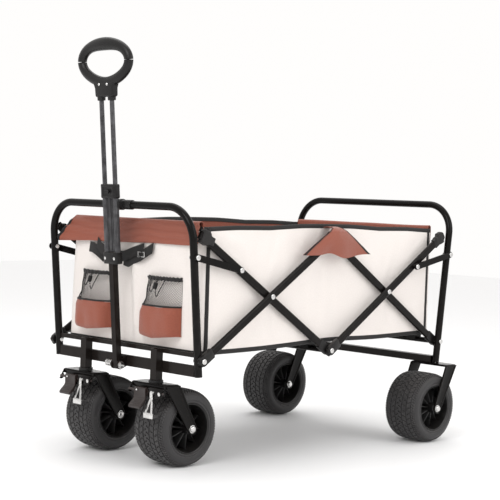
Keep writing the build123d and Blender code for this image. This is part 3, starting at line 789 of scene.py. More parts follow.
front_trail = front_wheel_x - caster_x
rear_trail = rear_wheel_x - rear_plate_x
for side, y in (("left", front_wheel_y), ("right", -front_wheel_y)):
    finished(
        "pressed_fork_" + side, fork(front_plate_top, front_trail, True), frame_paint, "caster_" + side,
        "frame_paint", "caster_fork_" + side, place=shift(caster_x, y, 0),
    )
parts = []
for y in (rear_wheel_y, -rear_wheel_y):
    rear = joined("rear_fork", fork(rear_plate_top, rear_trail, False), frame_paint)
    rear.data.transform(shift(rear_plate_x, y, 0))
    parts.append(rear)
finished("pressed_forks_rear", parts, frame_paint, "rear_frame", "frame_paint", "rear_forks")
give_finish(nodes["caster_bearings"], moulded_black)

# ---- Caster brakes ----
# A stepped plastic pedal and a zinc-plated spring shoe share one cross shaft in front
# of each caster. The shoe hangs from a black bracket held by two bright rivets.

pedal_plastic = coated(
    "pedal_plastic", (0.0180, 0.0105, 0.0090, 1), (0.08, 0.055, 0.05, 1), 0.2, 0.32, 0.3, 1100.0,
)
pedal_low = -0.0080
pedal_high = 0.0300
pedal_steps = [
    (-0.0235, 0.1855), (-0.0375, 0.1862), (-0.0392, 0.1845), (-0.0392, 0.1640), (-0.0410, 0.1600),
    (-0.0545, 0.1470), (-0.0558, 0.1440), (-0.0535, 0.1398), (-0.0395, 0.1500), (-0.0362, 0.1600),
    (-0.0345, 0.1700), (-0.0245, 0.1705),
]
shoe_middle = -0.0280
shoe_top_x = -0.0378
shoe_foot_x = -0.0460
neck_width = 0.0090
foot_width = 0.0300
foot_bottom = 0.1220
foot_top = 0.1290
neck_top = 0.1640
bracket_x = -0.0352
for side, y in (("left", front_wheel_y), ("right", -front_wheel_y)):
    place = shift(caster_x, y, 0)
    pedal = flat_shape(pedal_steps, pedal_low, pedal_high, 0)
    edit(pedal)
    pick_faces(pedal, lambda middle, normal: middle.x < -0.037 and abs(normal.y) < 0.3 and normal.x < -0.8)
    inset(0.0030, -0.0010, use_individual=True)
    close_edit()
    bevel(pedal, 0.0009, 3, 30)
    parts = [pedal]
    for index in range(4):
        rib = box(
            (0.0016, pedal_high - pedal_low - 0.008, 0.0012),
            (-0.0438 - 0.0030 * index, (pedal_low + pedal_high) / 2, 0.1573 - 0.0029 * index),
        )
        bevel(rib, 0.0005, 2)
        parts.append(rib)
    shaft = ring(-fork_face, fork_face, bore, 0.0030, 20)
    shaft.data.transform(shift(brake_x, 0, brake_z))
    parts.append(shaft)
    finished(
        "pedal_" + side, parts, pedal_plastic, "brake_" + side, "black_plastic", "brake_pedal_" + side,
        place=place,
    )

    bpy.ops.mesh.primitive_plane_add(size=1.0)
    plate = bpy.context.object
    corners = [
        (shoe_foot_x, shoe_middle - foot_width / 2 + 0.002, foot_top),
        (shoe_foot_x, shoe_middle + foot_width / 2 - 0.002, foot_top),
        (shoe_top_x, shoe_middle + neck_width / 2, neck_top),
        (shoe_top_x, shoe_middle - neck_width / 2, neck_top),
    ]
    order = sorted(plate.data.vertices, key=lambda point: atan2(point.co.y, point.co.x))
    for point, corner in zip(order, corners):
        point.co = corner
    open_frame(plate, 0.0022, 0.0048, 0.0005)
    parts = [plate]
    for size, middle in (
        ((0.0028, foot_width, 0.0120), (shoe_foot_x, shoe_middle, foot_bottom + 0.0050)),
        ((0.0026, neck_width, 0.0180), (shoe_top_x, shoe_middle, neck_top + 0.0070)),
    ):
        bar = box(size, middle)
        bevel(bar, 0.0010, 2)
        parts.append(bar)
    hub = ring(shoe_middle - 0.0060, shoe_middle + 0.0060, bore, 0.0058, 24)
    hub.data.transform(shift(brake_x, 0, brake_z))
    parts.append(hub)
    finished("shoe_" + side, parts, zinc, "brake_" + side, "zinc_steel", "brake_shoe_" + side, place=place)

    pad = box(
        (0.0155, foot_width, foot_top - foot_bottom),
        (-0.0370, shoe_middle, (foot_top + foot_bottom) / 2),
    )
    bevel(pad, 0.0012, 3)
    finished("brake_pad_" + side, [pad], rubber, "brake_" + side, "tyre_rubber", place=place)

    bracket = flat_shape([
        (bracket_x, 0.1862), (bracket_x, 0.1668), (bracket_x + 0.0010, 0.1655), (bracket_x + 0.0020, 0.1668),
        (bracket_x + 0.0020, 0.1838), (-0.0215, 0.1862), (-0.0215, 0.1885), (bracket_x + 0.0020, 0.1885),
    ], -0.0575, -0.0140)
    finished("brake_bracket_" + side, [bracket], frame_paint, "caster_" + side, "frame_paint", place=place)
    parts = []
    for x, across, z, radius in (
        (bracket_x, -0.0255, 0.1775, 0.0044), (bracket_x, -0.0510, 0.1772, 0.0044),
        (shoe_top_x - 0.0013, shoe_middle, 0.1690, 0.0030), (-0.0390, 0.0210, 0.1800, 0.0022),
    ):
        head = turned(
            [(0.0, 0.0001), (0.0, radius), (0.0012, radius), (0.0022, radius * 0.6), (0.0025, 0.0001)], 20
        )
        head.data.transform(shift(x, across, z) @ rotation(90, "Z"))
        parts.append(head)
    for index, (body, name) in enumerate((("caster_", "bracket_rivets_"), ("brake_", "brake_rivets_"))):
        finished(name + side, parts[2 * index:2 * index + 2], zinc, body + side, "zinc_steel", place=place)

# ---- Handle foot ----
# A square tube stands in a two-eared bracket on the front cross bar. A zinc-plated
# hex bolt with a nut, washers and a bright spring holds it.

handle_seat = shift(-0.424197, 0, 0.224) @ rotation(-5.1, "Y")
for name in ("handle_lower_tube", "handle_bracket"):
    give_finish(nodes[name], bar_paint)
bolt_half = 0.0124
parts = []
for side in (-1, 1):
    bpy.ops.mesh.primitive_cylinder_add(vertices=6, radius=0.0074, depth=0.0052)
    head = bpy.context.object
    apply_place(head, rotation(90, "X"))
    bevel(head, 0.0007, 2)
    head.data.transform(shift(0, side * (bolt_half + 0.0040), 0))
    washer = ring(-0.0007, 0.0007, 0.0042, 0.0090, 32)
    washer.data.transform(shift(0, side * (bolt_half + 0.0006), 0))
    parts += [head, washer]
parts.append(ring(-bolt_half, bolt_half, bore, 0.0039, 24))
finished("handle_bolt", parts, zinc, "front_frame", "zinc_steel", "handle_pivot_bolt", place=handle_seat)


def wire(points, radius, roundness):
    """A bent round wire through some points."""
    bpy.ops.curve.primitive_bezier_curve_add()
    piece = bpy.context.object
    piece.data.splines.clear()
    line = piece.data.splines.new("POLY")
    line.points.add(len(points) - 1)
    for point, (x, y, z) in zip(line.points, points):
        point.co = (x, y, z, 1)
    piece.data.bevel_depth = radius
    piece.data.bevel_resolution = roundness
    select(piece)
    bpy.ops.object.convert(target="MESH")
    return bpy.context.object


coil_steps = 96
coil_radius = 0.0070
coil = []
for index in range(coil_steps + 1):
    angle = 2 * pi * 5 * index / coil_steps
    along = 0.0160 + 0.0200 * index / coil_steps
    coil.append((coil_radius * cos(angle) - 0.0010, along, coil_radius * sin(angle) + 0.0015))
finished(
    "handle_spring", [wire(coil, 0.0009, 3)], zinc, "front_frame", "zinc_steel",
    place=shift(-0.424197, 0, 0.224), angle=60,
)

# ---- Handle block, housing and collar ----
# A rounded black block with two rivets joins the square tube to a dark fluted twin
# housing. A thick collar with an oval push button closes the top of the housing.

block_low = 0.237
block_top = 0.264
housing_top = 0.3905
collar_top = 0.4205
rod_place = 0.0185
rod_radius = 0.0055
tube_outside = 0.0069
shell = box((0.0200, 0.0500, block_top - block_low), (0, 0, (block_top + block_low) / 2))
edit(shell)
round_uprights(shell, 0.0060, 5)
pick_faces(shell, lambda middle, normal: normal.z > 0.9)
inset(0.0018)
inset(0.0008, -0.0012)
pick_faces(shell, lambda middle, normal: normal.x < -0.95 and abs(middle.y) < 0.012)
inset(0.0030)
inset(0.0006, 0.0010)
close_edit()
bevel(shell, 0.0009, 3, 50)
finished(
    "rounded_block", [shell], moulded_black, "lower_handle", "black_plastic", "handle_block",
    place=handle_seat,
)
parts = []
for across in (-0.0160, 0.0160):
    head = turned([(0.0, 0.0001), (0.0, 0.0036), (0.0010, 0.0036), (0.0019, 0.0020), (0.0021, 0.0001)], 24)
    head.data.transform(shift(-0.0100, across, 0.2500) @ rotation(90, "Z"))
    parts.append(head)
finished("block_rivets", parts, zinc, "lower_handle", "zinc_steel", place=handle_seat)

rod_metal = coated(
    "satin_grey_metal", (0.0360, 0.0350, 0.0370, 1), (0.20, 0.20, 0.21, 1), 0.6, 0.30, 0.06, 500.0,
    Metallic=0.55,
)


def fluted(low, high, radius, flutes, depth, ring=96):
    """A round bar along Z with rounded grooves down its length."""
    bpy.ops.mesh.primitive_cylinder_add(vertices=ring, radius=radius, depth=high - low)
    bar = bpy.context.object
    bar.location = (0, 0, (high + low) / 2)
    apply_place(bar)
    for point in bar.data.vertices:
        angle = atan2(point.co.y, point.co.x)
        wave = max(0.0, cos(flutes * angle)) ** 3
        share = 1 - depth * wave / radius
        point.co.x *= share
        point.co.y *= share
    return bar


parts = []
for side in (-1, 1):
    sleeve = fluted(block_top - 0.001, housing_top + 0.001, tube_outside, 10, 0.0007)
    sleeve.data.transform(shift(0, side * rod_place, 0))
    parts.append(sleeve)
for across, depth, width in ((0, 0.0064, 0.0300), (0, 0.0092, 0.0085), (0.0082, 0.0082, 0.0030),
                             (-0.0082, 0.0082, 0.0030)):
    web = box((depth, width, housing_top - block_top), (0, across, (housing_top + block_top) / 2))
    bevel(web, 0.0009, 3)
    parts.append(web)
finished(
    "twin_housing", parts, rod_metal, "lower_handle", "handle_metal", "handle_housing",
    place=handle_seat, angle=40,
)

shell = box((0.0190, 0.0540, collar_top - housing_top), (0, 0, (collar_top + housing_top) / 2))
edit(shell)
round_uprights(shell, 0.0072, 6)
pick_faces(shell, lambda middle, normal: abs(normal.z) > 0.9)
inset(0.0014, 0.0012)
pick_faces(shell, lambda middle, normal: normal.x < -0.98 and abs(middle.y) < 0.01)
inset(0.0034)
inset(0.0008, -0.0014)
close_edit()
bevel(shell, 0.0007, 3, 45)
parts = [shell]
for z in (housing_top + 0.0035, collar_top - 0.0035):
    band = box((0.0198, 0.0548, 0.0022), (0, 0, z))
    edit(band)
    round_uprights(band, 0.0074, 6)
    close_edit()
    bevel(band, 0.0007, 2, 45)
    parts.append(band)
finished(
    "housing_collar", parts, moulded_black, "lower_handle", "black_plastic", "handle_collar",
    place=handle_seat,
)

bpy.ops.mesh.primitive_cylinder_add(vertices=40, radius=0.0045, depth=0.0075)
knob = bpy.context.object
apply_place(knob, rotation(90, "Y"))
for point in knob.data.vertices:
    point.co.y += 0.0030 if point.co.y > 0 else -0.0030
edit(knob)
pick_faces(knob, lambda middle, normal: normal.x < -0.9)
inset(0.0012)
inset(0.0008, -0.0007)
close_edit()
bevel(knob, 0.0006, 3, 40)
knob.data.transform(shift(-0.0087, 0, (housing_top + collar_top) / 2))
finished(
    "push_button", [knob], moulded_black, "handle_button", "black_plastic", "lock_button",
    place=handle_seat,
)

# ---- Sliding rods and grip ----
# Two fluted satin rods slide in the housing and carry a D-shaped moulded grip: two
# round side bars and a fuller lens-shaped top bar, on a flat tapered neck.

grip_bottom = 0.6215
parts = []
for side in (-1, 1):
    rod = fluted(0.3795, grip_bottom + 0.023, rod_radius, 8, 0.0006)
    rod.data.transform(shift(0, side * rod_place, 0))
    parts.append(rod)
finished(
    "fluted_rods", parts, rod_metal, "upper_handle", "handle_metal", "handle_rods", place=handle_seat,
    angle=40,
)

grip_path = [
    (0.0000, 0.7425, 1.30), (0.0180, 0.7420, 1.26), (0.0380, 0.7395, 1.14), (0.0560, 0.7345, 1.03),
    (0.0710, 0.7260, 1.00), (0.0805, 0.7150, 0.98), (0.0838, 0.7030, 0.98), (0.0800, 0.6905, 0.98),
    (0.0700, 0.6790, 1.00), (0.0560, 0.6700, 1.02), (0.0400, 0.6625, 1.04), (0.0200, 0.6570, 1.02),
    (0.0000, 0.6550, 1.00),
]
loop_points = grip_path + [(-y, z, size) for y, z, size in reversed(grip_path[1:-1])]
bpy.ops.curve.primitive_bezier_circle_add()
loop = bpy.context.object
loop.data.splines.clear()
line = loop.data.splines.new("NURBS")
line.points.add(len(loop_points) - 1)
for point, (across, z, size) in zip(line.points, loop_points):
    point.co = (0, across, z, 1)
    point.radius = size
line.use_cyclic_u = True
line.order_u = 4
loop.data.bevel_depth = 0.0118
loop.data.bevel_resolution = 10
loop.data.resolution_u = 8
loop.data.twist_mode = "Z_UP"
select(loop)
bpy.ops.object.convert(target="MESH")
loop = bpy.context.object
loop.data.transform(Matrix.Diagonal((0.86, 1, 1, 1)))
neck_outline = [
    (-0.0315, grip_bottom), (0.0315, grip_bottom), (0.0325, grip_bottom + 0.0200),
    (0.0370, grip_bottom + 0.0300), (0.0500, grip_bottom + 0.0400), (0.0440, grip_bottom + 0.0475),
    (0.0000, grip_bottom + 0.0400), (-0.0440, grip_bottom + 0.0475), (-0.0500, grip_bottom + 0.0400),
    (-0.0370, grip_bottom + 0.0300), (-0.0325, grip_bottom + 0.0200),
]
neck = flat_shape(neck_outline, -0.0092, 0.0092, 0)
neck.data.transform(rotation(90, "Z"))
bevel(neck, 0.0050, 5, 60)
parts = [loop, neck]
for side in (-1, 1):
    socket = turned([
        (-0.0080, 0.0057), (-0.0080, 0.0085), (-0.0068, 0.0094), (0.0040, 0.0098), (0.0040, 0.0057)
    ], 32)
    socket.data.transform(
        shift(0, side * rod_place, grip_bottom) @ rotation(90, "X")
    )
    parts.append(socket)
finished(
    "d_grip", parts, moulded_black, "upper_handle", "black_plastic", "handle_grip", place=handle_seat,
    angle=45,
)
parts = []
for across in (-0.0140, 0.0140):
    head = turned([
        (0.0, 0.0001), (0.0, 0.0032), (0.0012, 0.0032), (0.0020, 0.0022), (0.0016, 0.0012), (0.0010, 0.0001)
    ], 24)
    head.data.transform(
        shift(-0.0091, across, grip_bottom + 0.0290) @ rotation(90, "Z")
    )
    parts.append(head)
finished("neck_screws", parts, zinc, "upper_handle", "zinc_steel", "grip_screws", place=handle_seat)

# ---- Handle clip ----
# A black moulded saddle snaps over the hoop's top tube and reaches forward with two
# jaws. Its sleeve runs along the tube and ends in a pale grey snap collar.

clip_x = -0.43384
hoop_top = 0.598
give_finish(nodes["handle_clip"], moulded_black)
pale_plastic = coated(
    "pale_grey_plastic", (0.42, 0.42, 0.41, 1), (0.52, 0.52, 0.50, 1), 0.4, 0.34, 0.2, 900.0,
)
parts = []
sleeve = turned([
    (-0.0500, 0.0091), (-0.0500, 0.0104), (-0.0488, 0.0112), (0.0400, 0.0112), (0.0400, 0.0091),
], 40)
clasp = turned([
    (0.0400, 0.0091), (0.0400, 0.0112), (0.0408, 0.0120), (0.0462, 0.0120), (0.0470, 0.0112),
    (0.0470, 0.0091),
], 40)
for shape in (sleeve, clasp):
    shape.data.transform(shift(clip_x, 0, hoop_top))
finished("clip_sleeve", [sleeve], moulded_black, "front_frame", "black_plastic")
finished("clip_collar", [clasp], pale_plastic, "front_frame", "black_plastic")

# ---- Bag walls ----
# Cream coated canvas hangs as one shell round both sides and the front, with rounded
# corners, soft upright folds and creases that run to the pivots. The lining is cream
# too, and a brown facing runs along the top inside.

bag_front = -0.3905
bag_rear = 0.4400
bag_side = 0.2400
corner_radius = 0.0220
wall_low = 0.272
wall_height = 0.285
cross_height_z = 0.3953
cross_places = (-0.1881, 0.2400)
side_run = bag_rear - bag_front - corner_radius
corner_run = corner_radius * pi / 2
front_run = 2 * (bag_side - corner_radius)
wall_run = 2 * side_run + 2 * corner_run + front_run
side_end = side_run + corner_run


def ripple(x, y, z):
    """Smooth noise from -1 to 1."""
    return noise.noise(Vector((x, y, z)))


def clamp(value):
    """A value kept between 0 and 1."""
    return max(0.0, min(1.0, value))


def hill(value):
    """A smooth bump that is 1 at zero and fades on both sides."""
    return 2.718 ** (-value ** 2)


def wall_base(along):
    """The place and outward direction on the wall's line, from the rear left corner."""
    mirror = along > wall_run / 2
    reach = wall_run - along if mirror else along
    if reach < side_run:
        place, out = (bag_rear - reach, bag_side), (0.0, 1.0)
    elif reach < side_end:
        turn = (reach - side_run) / corner_radius
        out = (-sin(turn), cos(turn))
        place = (bag_front + corner_radius * (1 + out[0]), bag_side + corner_radius * (out[1] - 1))
    else:
        out = (-1.0, 0.0)
        place = (bag_front, bag_side - corner_radius - (reach - side_end))
    if mirror:
        place, out = (place[0], -place[1]), (out[0], -out[1])
    return place, out


def crease(x, z, start, end, width):
    """A soft ridge about the line between two points, fading at its far end."""
    dx = end[0] - start[0]
    dz = end[1] - start[1]
    length = hypot(dx, dz)
    along = ((x - start[0]) * dx + (z - start[1]) * dz) / length
    across = ((x - start[0]) * dz - (z - start[1]) * dx) / length
    share = clamp(along / length)
    spread = width * (0.5 + 0.9 * share)
    fade = max(0.0, 1.0 - abs(along / length - 0.45) / 0.62)
    return fade * hill(across / spread)


def side_relief(x, z, seed):
    """How far a side wall stands out at a place, in metres."""
    share = (z - wall_low) / wall_height
    middle = (x - bag_front) / (bag_rear - bag_front)
    body = 0.0022 * sin(pi * clamp(share))
    slow = 0.0034 * ripple(x * 7.0, z * 2.6, seed)
    folds = 0.0022 * ripple(x * 24.0, z * 5.0, seed + 4.0)
    fine = 0.0005 * ripple(x * 60.0, z * 42.0, seed + 9.0)
    pulls = 0.0
    for cross_x in cross_places:
        for lean, reach in (
            (-0.060, -0.110), (0.020, -0.118), (0.075, -0.100), (-0.085, 0.120), (0.050, 0.135)
        ):
            start = (cross_x, cross_height_z)
            end = (cross_x + lean, cross_height_z + reach)
            pulls += 0.0028 * crease(x, z, start, end, 0.0075)
        dip = ((x - cross_x) / 0.050) ** 2 + ((z - cross_height_z) / 0.050) ** 2
        body -= 0.0024 * 2.718 ** (-dip)
    for corner, far in (((bag_front, 0.556), (-0.300, 0.440)), ((bag_front, 0.556), (-0.230, 0.500)),
                        ((bag_rear, 0.556), (0.330, 0.470)), ((0.026, 0.560), (-0.060, 0.470)),
                        ((0.026, 0.560), (0.110, 0.455)), ((bag_front, 0.275), (-0.310, 0.350)),
                        ((bag_rear, 0.280), (0.360, 0.360))):
        pulls += 0.0032 * crease(x, z, corner, far, 0.0090)
    edge = min(1.0, 9.0 * middle, 9.0 * (1 - middle))
    return (body + slow + folds + pulls) * max(0.0, edge) + fine


def front_relief(y, z):
    """How far the front wall stands out at a place, in metres."""
    share = clamp((z - wall_low) / wall_height)
    fold_line = -0.030 + 0.006 * sin(14.0 * z)
    hang = clamp((0.520 - z) / 0.060) * clamp((z - wall_low) / 0.050)
    fold = 0.0125 * hang * hill((y - fold_line) / 0.0150)
    valley = -0.0050 * hang * hill((y - fold_line - 0.030) / 0.0140)
    slow = 0.0040 * ripple(y * 9.0, z * 3.0, 2.0)
    folds = 0.0016 * ripple(y * 30.0, z * 6.0, 6.0)
    fine = 0.0005 * ripple(y * 62.0, z * 40.0, 11.0)
    return 0.0030 * sin(pi * share) + fold + valley + slow + folds + fine


def wall_top(x):
    """The height of the walls' top edge, lower at the ends than at the middle."""
    share = min(1.0, abs(x - middle_x) / 0.40)
    return 0.5630 - 0.0095 * share ** 2 - 0.0035 * max(0.0, 1 - abs(share - 0.5) / 0.28)


def wall_bottom(x):
    """The height of the walls' bottom edge, which sags between the floor bars."""
    share = (x - bag_front) / (bag_rear - bag_front)
    return 0.2680 + 0.0100 * min(1.0, 1.9 * share) - 0.0026 * sin(2 * pi * share) ** 2


def wall_point(along, share, lift=0.0, rise=0.0):
    """A point on the outside of the wall, lifted off it by an amount."""
    (x, y), out = wall_base(along)
    low = wall_bottom(x)
    high = wall_top(x)
    z = low + (high - low) * share + rise
    on_side = abs(out[1])
    seed = 3.0 if y > 0 else 21.0
    relief = on_side * side_relief(x, z, seed) + (1 - on_side) * front_relief(y, z)
    height = (z - low) / (high - low)
    relief *= max(0.25, min(1.0, (1.02 - height) / 0.10, (height + 0.04) / 0.12))
    if y > 0:
        back = max(0.0, 1 - (x - bag_front) / 0.16) ** 2
        y -= (0.010 + 0.015 * height) * back * (y / bag_side) ** 3
    return Vector((x + out[0] * (relief + lift), y + out[1] * (relief + lift), z))


def cloth_grid(columns, rows, place):
    """A grid of cloth whose (u, v) shares are placed by a function."""
    bpy.ops.mesh.primitive_grid_add(x_subdivisions=columns, y_subdivisions=rows, size=1.0)
    cloth = bpy.context.object
    shares = [(point.co.x + 0.5, point.co.y + 0.5) for point in cloth.data.vertices]
    for point, (u, v) in zip(cloth.data.vertices, shares):
        point.co = place(u, v)
    return cloth


def fit_uvs(cloth, width, height):
    """Stretch a grid's UVs to its cut size in metres."""
    for corner in cloth.data.uv_layers[0].data:
        corner.uv = (corner.uv[0] * width, corner.uv[1] * height)


weave, group_in, group_out = new_group(
    "weave", [("Thread", "Float"), ("Depth", "Float")], [("Height", "Float"), ("Shade", "Float")]
)
threads = shade(weave, "UVMap")
split = shade(weave, "SeparateXYZ", threads["UV"])
waves = []
for socket in ("X", "Y"):
    scaled = shade(weave, "Math", split[socket], group_in["Thread"], operation="MULTIPLY")
    waves.append(shade(weave, "Math", scaled[0], operation="SINE"))
crossing = shade(weave, "Math", waves[0][0], waves[1][0], operation="MULTIPLY")
raised = shade(weave, "Math", crossing[0], group_in["Depth"], operation="MULTIPLY")
slubs = shade(weave, "TexNoise", Vector=threads["UV"], Scale=260.0, Detail=4.0)
tint = shade(weave, "Math", crossing[0], 0.08, slubs["Fac"], operation="MULTIPLY_ADD")
fill(weave, group_out, Height=raised[0], Shade=tint[0])


def canvas(name, dark, light, thread=4200.0, strength=0.35, **values):
    """A woven coated cloth between two shades of its colour."""
    material, tree, shader = new_material(name, **values)
    woven = shade(tree, "Group", group=weave, Thread=thread, Depth=1.0)
    mixed = shade(tree, "MixRGB", woven["Shade"], dark, light)
    dusty = shade(tree, "Group", group=dust, Color=mixed["Color"], Dust=(0.30, 0.26, 0.22, 1), Amount=0.04)
    bump = shade(tree, "Bump", Strength=strength, Distance=0.0003, Height=woven["Height"])
    fill(tree, shader, Base_Color=dusty["Color"], Normal=bump["Normal"])
    return material


cream_cloth = canvas(
    "cream_canvas", (0.74, 0.685, 0.650, 1), (0.83, 0.780, 0.745, 1),
    Roughness=0.62, Sheen_Weight=0.15, Specular_IOR_Level=0.3,
)
brown_cloth = canvas(
    "terracotta_canvas", (0.215, 0.050, 0.027, 1), (0.305, 0.080, 0.043, 1),
    Roughness=0.55, Sheen_Weight=0.25, Specular_IOR_Level=0.35,
)
black_tape = canvas(
    "black_binding_tape", (0.0090, 0.0080, 0.0080, 1), (0.020, 0.0185, 0.0180, 1), 2600.0, 0.5,
    Roughness=0.66, Sheen_Weight=0.08, Specular_IOR_Level=0.25,
)
dark_cloth = canvas(
    "dark_floor_canvas", (0.028, 0.0245, 0.0235, 1), (0.052, 0.046, 0.044, 1), 3200.0, 0.4,
    Roughness=0.7, Sheen_Weight=0.15, Specular_IOR_Level=0.25,
)


def thicken(cloth, thickness, offset=-1.0):
    """Give a cloth its thickness, with its inside on the far side of its normals."""
    apply_modifier(cloth, "SOLIDIFY", thickness=thickness, offset=offset, use_rim=True)
    return cloth


def outward(cloth, wanted):
    """Turn a grid over when its first face doesn't look the way that is wanted."""
    face = cloth.data.polygons[len(cloth.data.polygons) // 2]
    if face.normal.dot(Vector(wanted)) < 0:
        cloth.data.flip_normals()


def shorten(cloth):
    """Give a cloth its own copy of its mesh."""
    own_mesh(cloth)


walls = cloth_grid(224, 38, lambda u, v: wall_point(u * wall_run, v))
fit_uvs(walls, wall_run, 0.285)
outward(walls, (-1, 0, 0))
thicken(walls, 0.0016)
walls = finished(
    "bag_walls", [walls], cream_cloth, "front_frame", "cream_canvas", "bag_sides", "bag_front_panel",
    angle=80,
)
shorten(walls)

facing_depth = 0.056
facing = cloth_grid(
    200, 8, lambda u, v: wall_point(u * wall_run, 1.0, -0.0026, -facing_depth * (1 - v))
)
fit_uvs(facing, wall_run, facing_depth)
outward(facing, (1, 0, 0))
thicken(facing, 0.0009)
facing = finished("bag_top_facing", [facing], brown_cloth, "front_frame", "brown_canvas", angle=80)
shorten(facing)

# ---- Bag bindings ----
# Black tape is folded over the top edge, runs along the bottom seam and up the corner
# seams of the walls. It is stitched flat and follows the cloth.


def tape(start, end, outline, columns):
    """A tape along the wall between two places, with (share, lift, rise) rows."""
    rows = len(outline) - 1

    def place(u, v):
        share, lift, rise = outline[min(rows, int(v * rows + 0.5))]
        return wall_point(start + (end - start) * u, share, lift, rise)

    strip = cloth_grid(columns, rows, place)
    fit_uvs(strip, abs(end - start), 0.02)
    return thicken(strip, 0.0009, 0.0)


top_fold = [
    (1.0, 0.0014, -0.0085), (1.0, 0.0021, -0.0050), (1.0, 0.0018, -0.0010), (1.0, 0.0004, 0.0014),
    (1.0, -0.0020, 0.0014), (1.0, -0.0042, -0.0008), (1.0, -0.0046, -0.0090),
]
bottom_fold = [
    (0.0, 0.0014, 0.0085), (0.0, 0.0021, 0.0050), (0.0, 0.0016, 0.0000), (0.0, -0.0010, -0.0022),
    (0.0, -0.0060, -0.0012),
]
strips = [
    tape(0, wall_run, top_fold, 210),
    tape(0, wall_run, bottom_fold, 210),
]


def corner_tape(along):
    """An upright tape over a corner seam, from the bottom edge to the top edge."""
    shares = [0.0, 0.25, 0.5, 0.75, 1.0]

    def place(u, v):
        bow = 0.0012 + 0.0012 * (1 - (2 * v - 1) ** 2)
        return wall_point(along + (v - 0.5) * 0.0100, u, bow)

    strip = cloth_grid(40, len(shares) - 1, place)
    fit_uvs(strip, 0.285, 0.010)
    return thicken(strip, 0.0009, 0.0)


for along in (0.0090, side_run + 0.003, wall_run - side_run - 0.003, wall_run - 0.0090):
    strips.append(corner_tape(along))
tapes = finished("bag_bindings", strips, black_tape, "front_frame", "dark_canvas", angle=80, mend=True)
shorten(tapes)

# ---- Bag floor and rear wall ----
# The floor is dark canvas that sags between the cross tubes. The rear wall is cream
# canvas with a brown facing and its own black edges, and moves with the rear hoop.


def floor_point(u, v):
    """A point on the bag floor."""
    x = bag_front + 0.001 + (bag_rear - bag_front - 0.002) * u
    y = -0.2385 + 0.4770 * v
    sag = 0.0024 * sin(pi * v) * sin(2 * pi * u) ** 2
    return Vector((x, y, 0.2772 - sag + 0.0005 * ripple(x * 30, y * 30, 1.0)))


base = cloth_grid(90, 54, floor_point)
fit_uvs(base, 0.829, 0.477)
thicken(base, 0.0018)
base = finished("bag_base", [base], dark_cloth, "front_frame", "dark_canvas", "bag_floor", angle=80)
shorten(base)


rear_low = 0.2735
rear_half = 0.2370


def rear_point(y, share, lift=0.0, rise=0.0):
    """A point on the outside of the rear wall."""
    z = rear_low + (wall_top(bag_rear) - rear_low) * share + rise
    relief = 0.0030 * sin(pi * share) + 0.0036 * ripple(y * 9.0, z * 3.0, 31.0)
    relief += 0.0014 * ripple(y * 28.0, z * 6.0, 35.0)
    relief *= max(0.2, min(1.0, (0.238 - abs(y)) / 0.03))
    return Vector((bag_rear + 0.0028 + relief + lift, y, z))


back = cloth_grid(64, 38, lambda u, v: rear_point(rear_half * (2 * u - 1), v))
fit_uvs(back, 2 * rear_half, 0.28)
outward(back, (1, 0, 0))
thicken(back, 0.0016)
back = finished("rear_wall", [back], cream_cloth, "rear_frame", "cream_canvas", "bag_rear_panel", angle=80)
strips = []
for outline in (
    [(1.0, 0.0010, -0.0095), (1.0, 0.0014, -0.0020), (1.0, 0.0000, 0.0014), (1.0, -0.0032, -0.0002),
     (1.0, -0.0034, -0.0090)],
    [(0.0, 0.0010, 0.0085), (0.0, 0.0016, 0.0030), (0.0, 0.0000, -0.0020), (0.0, -0.0036, 0.0000)],
):
    rows = len(outline) - 1
    strip = cloth_grid(
        60, rows, lambda u, v: rear_point(rear_half * (2 * u - 1), *outline[int(v * rows + 0.5)]),
    )
    fit_uvs(strip, 2 * rear_half, 0.02)
    strips.append(thicken(strip, 0.0009, 0.0))
for side in (-1, 1):
    strip = cloth_grid(
        36, 4, lambda u, v: rear_point(
            side * (rear_half - 0.010 * v), u, 0.0010 + 0.0012 * (1 - (2 * v - 1) ** 2)
        )
    )
    fit_uvs(strip, 0.28, 0.010)
    strips.append(thicken(strip, 0.0009, 0.0))
finished("rear_wall_bindings", strips, black_tape, "rear_frame", "dark_canvas", angle=80, mend=True)

# ---- Floor mat ----
# A thin padded mat in dark canvas, quilted into four boards, lies on the floor.

mat_low = 0.2784
mat_rise = 0.0100
mat_front = -0.3840
mat_rear = 0.4340
mat_half = 0.2325
bpy.ops.mesh.primitive_grid_add(x_subdivisions=96, y_subdivisions=56, size=1.0)
mat = bpy.context.object
for point in mat.data.vertices:
    u = point.co.x + 0.5
    v = point.co.y + 0.5
    seam = min(abs(u - line) for line in (0.0, 0.25, 0.5, 0.75, 1.0)) * (mat_rear - mat_front)
    edge = min(v, 1 - v) * 2 * mat_half
    puff = min(1.0, (seam / 0.030)) ** 0.5 * min(1.0, (edge / 0.024)) ** 0.5
    wave = 0.0007 * ripple(u * 22, v * 14, 3.0)
    point.co = (
        mat_front + (mat_rear - mat_front) * u, mat_half * (2 * v - 1),
        mat_low + 0.0035 + (mat_rise - 0.0035) * puff + wave * puff
    )
fit_uvs(mat, mat_rear - mat_front, 2 * mat_half)
edit(mat)
whole()
bpy.ops.mesh.extrude_region_move(TRANSFORM_OT_translate={"value": (0, 0, -0.004)})
bpy.ops.transform.resize(value=(1, 1, 0), center_override=(0, 0, mat_low))
close_edit()
select(mat)
held = mat.vertex_groups.new(name="held")
for point in mat.data.vertices:
    seam = min(
        abs(point.co.x - mat_front - share * (mat_rear - mat_front)) for share in (0.25, 0.5, 0.75)
    )
    if point.co.z < mat_low + 0.002 or seam < 0.004:
        held.add([point.index], 1.0, "REPLACE")
cloth = mat.modifiers.new("cloth", "CLOTH")
cloth.settings.vertex_group_mass = "held"
cloth.settings.quality = 5
cloth.settings.mass = 0.3
cloth.settings.tension_stiffness = 60
